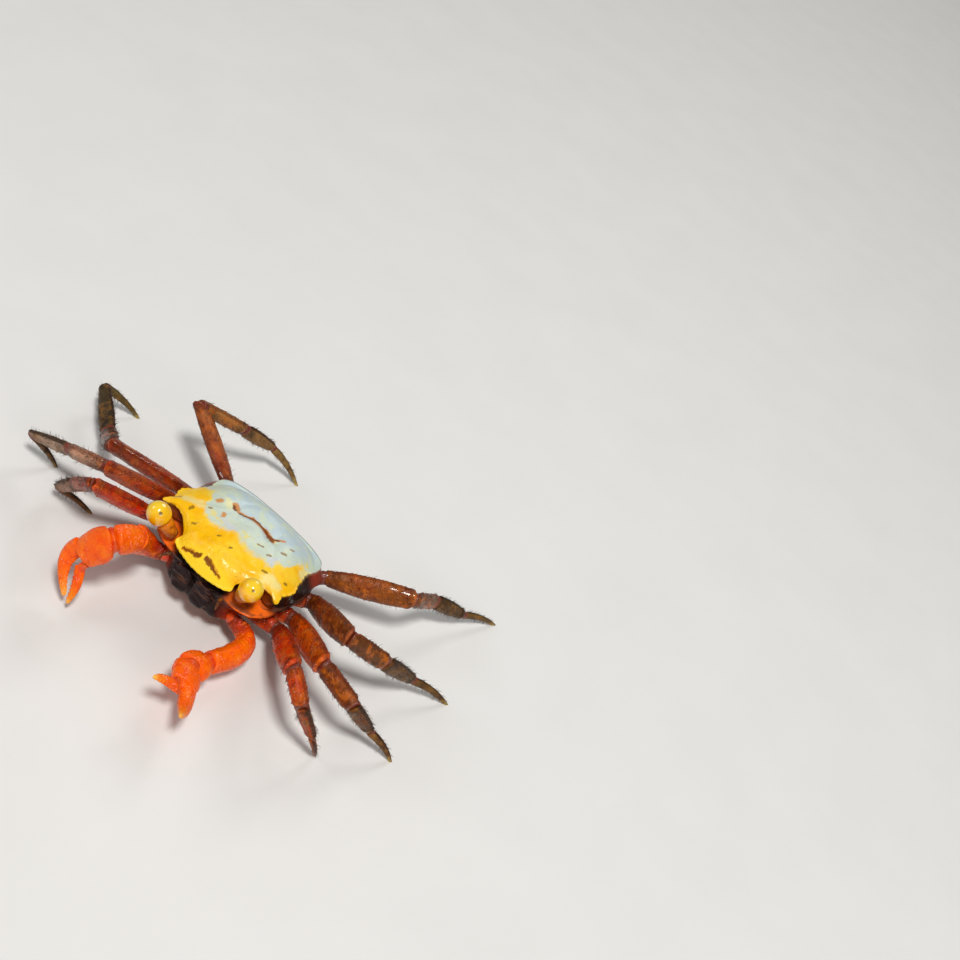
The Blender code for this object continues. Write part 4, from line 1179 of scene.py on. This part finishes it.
def leg(pair, side):
    """One walking leg: five stretches of chitin and the soft skin between them."""
    sizes, size = LEG_PAIRS[pair], LEG_PAIRS[pair]["size"]
    headings, pitches = LEG_POSE[(pair, side)]
    points = [sided(sizes["root"], side)]
    for n, length in enumerate(sizes["lengths"]):
        pitch = pitches[n] if n < TOE_STRETCH else -math.degrees(math.asin((points[-1].z - FLOOR) / length))
        points.append(points[-1] + heading(headings[n], pitch) * length)
    ways = [(b - a).normalized() for a, b in zip(points, points[1:])]
    outward = sided(ACROSS, side)
    cuts = [outward] + [joint_cut(a, b) for a, b in zip(ways, ways[1:])] + [-UP]
    flat_run = points[5] - points[1]
    flat_run.z = 0.0
    level = flat_run.cross(UP).normalized()
    bend = ways[1].cross(ways[2]).normalized()
    lean = bend * math.copysign(BEND_LEAN, bend.dot(level)) if side == "right" else UP * LEFT_LEG_ROLL
    inner_across = outer_across = (level + lean).normalized()
    if (pair, side) in OUTER_ROLL:
        outer_across = (level + UP * OUTER_ROLL[(pair, side)]).normalized()
    stem = "leg" + str(pair) + "_" + side + "_"
    seed = 60 + pair * 10
    joints = []
    for n, (name, form, rings, steps, keel, grain, furrow, strength) in enumerate(STRETCHES):
        form = [scaled(pair_of_radii, size) for pair_of_radii in form]
        across = inner_across if n < 2 else outer_across
        toe = n == TOE_STRETCH
        ends = ((cuts[n], GAP / 2 if n else 0.0), (cuts[n + 1], 0.0 if toe else -GAP / 2))
        stations = stretch_rings(points[n], points[n + 1], ends, across, form, LEG_SIDES, rings,
                                 DACTYL_BOW if toe else 0.0)
        material, slot = (LEG, "leg") if n < FIRST_TOE_COLOUR else (TOE, "toe")
        relief = toe_relief(seed) if toe else limb_relief(seed + n, keel, grain, furrow)
        skin(stem + name + "_skin", stations, material, slot, stem + name, relief, steps,
             (0.25, 0.0) if toe else (0.34, 0.34), leg_stops(pair, side, n),
             bristle_growth(strength, 0.25 if toe else 0.06), LEG_ROUNDING)
        if n:
            joints.append((points[n], ways[n - 1], ways[n], across, *form[0]))
    root_form = scaled(COXA_FORM[0], size * 1.05)
    joints.append((points[0] - outward * 0.2, outward, ways[0], inner_across, *root_form))
    joint_skin(stem + "joints", joints, JOINT, "leg", 0.92)


def claw_grains(shares, turn):
    """How thickly grains stand on the claws: on the upper and outer faces, clear of the fingertips."""
    return np.clip(np.sin(turn) * 0.8 + 0.45, 0.0, 1.0) * ramp(shares, 0.0, 0.06) * ramp(-shares, -0.92, 0.2)


def finger_relief(seed, sign):
    """Fingers with blunt teeth along the cutting edge and a shallow groove on each side."""
    def relief(distance, total, turn, grid):
        biting = np.clip(sign * np.sin(turn), 0.0, 1.0) ** 6
        teeth = 0.13 * np.abs(np.sin(np.pi * distance / 0.40)) ** 1.5
        fade = ramp(total - distance, 0.0, 0.5) * ramp(distance, 0.0, 0.4)
        return fade * (biting * teeth - 0.05 * bell(np.sin(turn), 0.0, 0.2)) + 0.015 * rough(grid, 2.5, seed)
    return relief


def claw(side):
    """One claw limb: arm, wrist, hand with its fixed finger, and movable finger."""
    spots = {key: Vector(value) for key, value in ARMS[side].items()}
    root, elbow, wrist, knuckle, tip = (spots[key] for key in ("root", "elbow", "wrist", "knuckle", "tip"))
    stem = "claw_" + side + "_"

    def clad(name, rings, relief, steps, ends=(0.30, 0.30)):
        skin(stem + name + "_skin", rings, CLAW, "claw", stem + name, relief, steps, ends, CLAW_TINTS[name],
             claw_grains)

    root_way = sided(ARM_ROOT_NORMAL, side).normalized()
    path = bezier(root, spots["bend"], elbow, 8)
    arm_way, wrist_way, palm_way = ((b - a).normalized() for a, b in ((path[-2], elbow), (elbow, wrist),
                                                                      (wrist, knuckle)))
    elbow_cut, wrist_cut = joint_cut(arm_way, wrist_way), joint_cut(wrist_way, palm_way)
    hand_side = palm_way.cross(spots["hand_upward"]).normalized()
    upward = hand_side.cross(palm_way).normalized()
    rings = sweep_rings(path, ARM_FORM, UP, ((root_way, 0.0), (elbow_cut, -GAP / 2)), CLAW_SIDES)
    clad("arm", rings, limb_relief(101, 0.12, 0.04, lip=0.2), 9)
    cuts = ((elbow_cut, GAP / 2), (wrist_cut, -GAP / 2))
    rings = stretch_rings(elbow, wrist, cuts, hand_side, WRIST_FORM, CLAW_SIDES, 6)
    clad("wrist", rings, limb_relief(102, 0.05, 0.04, lip=0.2), 8)

    rings = []
    for f in (n / 5 for n in range(6)):
        rings.append([wrist + (knuckle - wrist) * f + offset
                      + palm_way * (slide((wrist_cut, GAP / 2), offset, palm_way) * (1 - f))
                      for offset in ring_offsets(PALM_FORM, f, hand_side, upward, HAND_SIDES)])
    finger_root = knuckle - upward * FIXED_FINGER_DROP + palm_way * 0.10
    drawn = finger_root + palm_way * ((tip - finger_root).length * 0.5) - upward * 0.25
    path = bezier(finger_root, drawn, tip, 6)
    for n, point in enumerate(path):
        rise = hand_side.cross(way_at(path, n)).normalized()
        offsets = ring_offsets(FIXED_FINGER_FORM, n / 5, hand_side, rise, HAND_SIDES)
        rings.append([point + offset for offset in offsets])

    def relief(distance, total, turn, grid):
        on_finger = ramp(distance / total, (knuckle - wrist).length / total, 0.08)
        palm = 0.05 * rough(grid, 0.9, 105) + 0.03 * rough(grid, 2.4, 106)
        return on_finger * finger_relief(104, 1.0)(distance, total, turn, grid) + (1.0 - on_finger) * palm

    clad("hand", rings, relief, 7, (0.35, 0.25))
    hinge = knuckle + upward * FINGER_RISE + palm_way * (GAP + FINGER_SETBACK)
    way = (spots["finger_tip"] - hinge).normalized()
    drawn = (hinge + spots["finger_tip"]) / 2 + hand_side.cross(way).normalized() * 0.5
    path = bezier(hinge, drawn, spots["finger_tip"], 8)
    cuts = ((joint_cut(palm_way, way_at(path, 0)), 0.0), (way_at(path, len(path) - 1), 0.0))
    rings = sweep_rings(path, MOVABLE_FINGER_FORM, hand_side.cross(way), cuts, FINGER_SIDES)
    clad("finger", rings, finger_relief(107, -1.0), 8, (0.25, 0.25))

    knuckle_skin = (hinge - palm_way * 0.25, palm_way, way, hand_side, *scaled(MOVABLE_FINGER_FORM[0], 0.9))
    joint_skin(stem + "knuckle", (knuckle_skin,), CLAW_JOINT, "claw", 0.88)
    joint_skin(stem + "joints", (
        (elbow, arm_way, wrist_way, arm_way.cross(UP).normalized(), *scaled(ARM_FORM[-1], 0.92)),
        (wrist, wrist_way, palm_way, wrist_way.cross(palm_way).normalized(), *scaled(PALM_FORM[0][::-1], 0.92)),
        (root - root_way * 0.1, root_way, root_way, UP, *ARM_FORM[0][::-1])), CLAW_JOINT, "claw", 0.88)


# What repeats: bristles and grains


def growing_tree(name):
    """A geometry tree with its named sizes, and the points where growth puts something on a bed."""
    sockets = "Geometry " + GROWN_SIZES[name] + " Seed Material"
    bench, given, made = new_tree(name, sockets, "Geometry", "GeometryNodeTree")
    growth = bench.get("GeometryNodeInputNamedAttribute", {"Name": "growth"}, data_type="FLOAT")
    scatter = bench.add("GeometryNodeDistributePointsOnFaces", {
        "Mesh": given["Geometry"], "Density": bench.times(growth, given["Density"]), "Seed": given["Seed"]})
    return bench, given, made, scatter.outputs


def plant(bench, given, made, scatter, thing, way, size):
    """Sets one thing upright along its way at each point, and makes all of them one mesh."""
    turn = bench.get("FunctionNodeAlignRotationToVector", {"Vector": way}, axis="Z")
    placed = bench.get("GeometryNodeInstanceOnPoints", {"Points": scatter["Points"], "Instance": thing,
                                                        "Rotation": turn, "Scale": size})
    real = bench.get("GeometryNodeRealizeInstances", {"Geometry": placed})
    smooth = bench.get("GeometryNodeSetShadeSmooth", {"Geometry": real})
    bench.feed(made, {"Geometry": bench.get("GeometryNodeSetMaterial", {"Geometry": smooth,
                                                                        "Material": given["Material"]})})
    return bench.tree


def bristle_tree():
    """Bent tapering bristles that lean towards the toe."""
    bench, given, made, scatter = growing_tree("bristles")
    cone = bench.get("GeometryNodeMeshCone", {
        "Vertices": 4, "Side Segments": 3, "Radius Top": 0.000004, "Radius Bottom": given["Thickness"],
        "Depth": given["Length"]}, "Mesh")
    height = bench.parts(bench.get("GeometryNodeInputPosition"))["Z"]
    push = bench.times(bench.calc("DIVIDE", bench.times(height, height), given["Length"]), given["Bend"])
    bent = bench.get("GeometryNodeSetPosition", {"Geometry": cone, "Offset": bench.joined(push)})
    toward = bench.get("GeometryNodeInputNamedAttribute", {"Name": "toward"}, data_type="FLOAT_VECTOR")
    chance = bench.get("FunctionNodeRandomValue", {"Min": (-1.0, -1.0, -1.0), "Max": (1.0, 1.0, 1.0),
                                                   "Seed": given["Seed"]}, data_type="FLOAT_VECTOR")
    way = bench.vector("ADD", scatter["Normal"], bench.scaled(toward, given["Lean"]))
    way = bench.vector("ADD", way, bench.scaled(chance, given["Spread"]))
    size = bench.get("FunctionNodeRandomValue", {2: 0.5, 3: 1.0, "Seed": given["Seed"]}, 1, data_type="FLOAT")
    return plant(bench, given, made, scatter, bent, way, size)


def grain_tree():
    """Low round grains of chitin."""
    bench, given, made, scatter = growing_tree("grains")
    ball = bench.get("GeometryNodeMeshUVSphere", {"Segments": 7, "Rings": 4, "Radius": given["Size"]})
    size = bench.get("FunctionNodeRandomValue", {2: 0.5, 3: 1.15, "Seed": given["Seed"]}, 1, data_type="FLOAT")
    return plant(bench, given, made, scatter, ball, scatter["Normal"],
                 bench.joined(size, size, bench.times(size, 0.7)))


TREES = {"bristles": bristle_tree(), "grains": grain_tree()}


def grow(name, hosts, tree, slot, sizes, seed, material=BRISTLE):
    """Grow bristles or grains over some pieces and keep them as one plain mesh."""
    values = dict(zip(GROWN_SIZES[tree].split(), sizes), Seed=seed, Material=material)
    beds = [MADE[host] for host in hosts]
    faces, start = [], 0
    for bed in beds:
        faces += [[start + k for k in face] for face in bed["faces"]]
        start += len(bed["verts"])
    data = mesh_of(name + "_bed", np.concatenate([bed["verts"] for bed in beds]), faces)
    store(data, {key: np.concatenate([bed[key] for bed in beds]) for key in ("growth", "rise", "toward", "tint")
                 if key in beds[0]})
    bed = put(name + "_bed", data)
    modifier = bed.modifiers.new("growth", "NODES")
    modifier.node_group = TREES[tree]
    for item in TREES[tree].interface.items_tree:
        if item.in_out == "INPUT" and item.name in values:
            modifier[item.identifier] = values[item.name]
    bpy.context.view_layer.update()
    graph = bpy.context.evaluated_depsgraph_get()
    result = bpy.data.meshes.new_from_object(bed.evaluated_get(graph), depsgraph=graph)
    result.name = name
    for vert in result.vertices:
        vert.co.z = max(vert.co.z, LOWEST_POINT)
    bpy.data.objects.remove(bed, do_unlink=True)
    settle(name, result, slot)


def grow_all():
    for count, side in enumerate(SIDES):
        first_seed = 5 * count
        for pair in LEG_PAIRS:
            stem = "leg" + str(pair) + "_" + side + "_"
            hosts = [stem + stretch[0] + "_skin" for stretch in STRETCHES]
            grow(stem + "bristles", hosts[1:], "bristles", "toe", LEG_BRISTLES, first_seed + pair)
            grow(stem + "grains", hosts[:3], "grains", "leg", LEG_GRAINS, first_seed + pair + 40, LEG)
        stem = "claw_" + side + "_"
        hosts = [stem + part + "_skin" for part in CLAW_TINTS]
        grow(stem + "grains", hosts, "grains", "claw", CLAW_GRAINS, first_seed + 85, CLAW)
        grow("mouth_bristles_" + side, ["mouthpart_" + side], "bristles", "underside", MOUTH_BRISTLES,
             first_seed + 125)
    grow("wall_grains", ["underbody_wall"], "grains", "underside", WALL_GRAINS, 301, FACE)
    grow("tail_bristles", ["tail"], "bristles", "underside", TAIL_BRISTLES, 302)


# Stage


def floor():
    material = bpy.data.materials.new("pale floor")
    material.use_nodes = True
    bench = Bench(material.node_tree)
    place = bench.get("ShaderNodeTexCoord", out="Object")
    colour = bench.blend(bench.cloud(place, 90.0, 4.0), (0.76, 0.75, 0.73, 1.0), (0.82, 0.81, 0.79, 1.0))
    bench.feed(material.node_tree.nodes["Principled BSDF"].inputs, {"Base Color": colour, "Roughness": 0.6})
    corners = np.array([(-0.6, -0.6, 0.0), (0.6, -0.6, 0.0), (0.6, 0.6, 0.0), (-0.6, 0.6, 0.0)])
    put("floor", mesh_of("floor", corners, [(0, 1, 2, 3)], material))


def studio():
    for name, place, size, power, colour in (
            ("key", (0.14, -0.28, 0.60), 0.13, 3.20, (1.0, 0.985, 0.96)),
            ("fill", (0.60, -0.40, 0.40), 0.40, 0.90, (1.0, 1.0, 1.0)),
            ("side", (-0.55, -0.35, 0.45), 0.35, 0.80, (0.96, 0.98, 1.0)),
            ("back", (-0.10, 0.60, 0.50), 0.30, 1.00, (1.0, 1.0, 1.0))):
        light = bpy.data.lights.new(name, "AREA")
        light.shape = "DISK"
        light.size, light.energy, light.color = size, power, colour
        thing = put(name, light)
        thing.location = place
        thing.rotation_euler = (-Vector(place)).to_track_quat("-Z", "Y").to_euler()
    world = bpy.data.worlds.new("studio")
    world.use_nodes = True
    backdrop = world.node_tree.nodes["Background"]
    backdrop.inputs["Color"].default_value = (0.95, 0.94, 0.92, 1.0)
    backdrop.inputs["Strength"].default_value = 0.17
    bpy.context.scene.world = world
    bpy.context.scene.view_settings.view_transform = "Standard"
    bpy.context.scene.view_settings.look = "None"


def camera():
    data = bpy.data.cameras.new("camera")
    data.lens = 50.0
    data.sensor_width = 36.0
    data.clip_start = 0.001
    data.clip_end = 10.0
    thing = put("camera", data)
    turn = Matrix((CAMERA_RIGHT, CAMERA_UP, CAMERA_BACK)).transposed().to_4x4()
    turn.translation = (Vector(CAMERA_PLACE) + SHIFT) * MM
    thing.matrix_world = turn
    bpy.context.scene.camera = thing


def main():
    shell()
    underbody()
    tail()
    for side in SIDES:
        mouth_plate(side)
        eye(side)
        antenna(side)
        claw(side)
        for pair in LEG_PAIRS:
            leg(pair, side)
    grow_all()
    floor()
    studio()
    camera()


main()
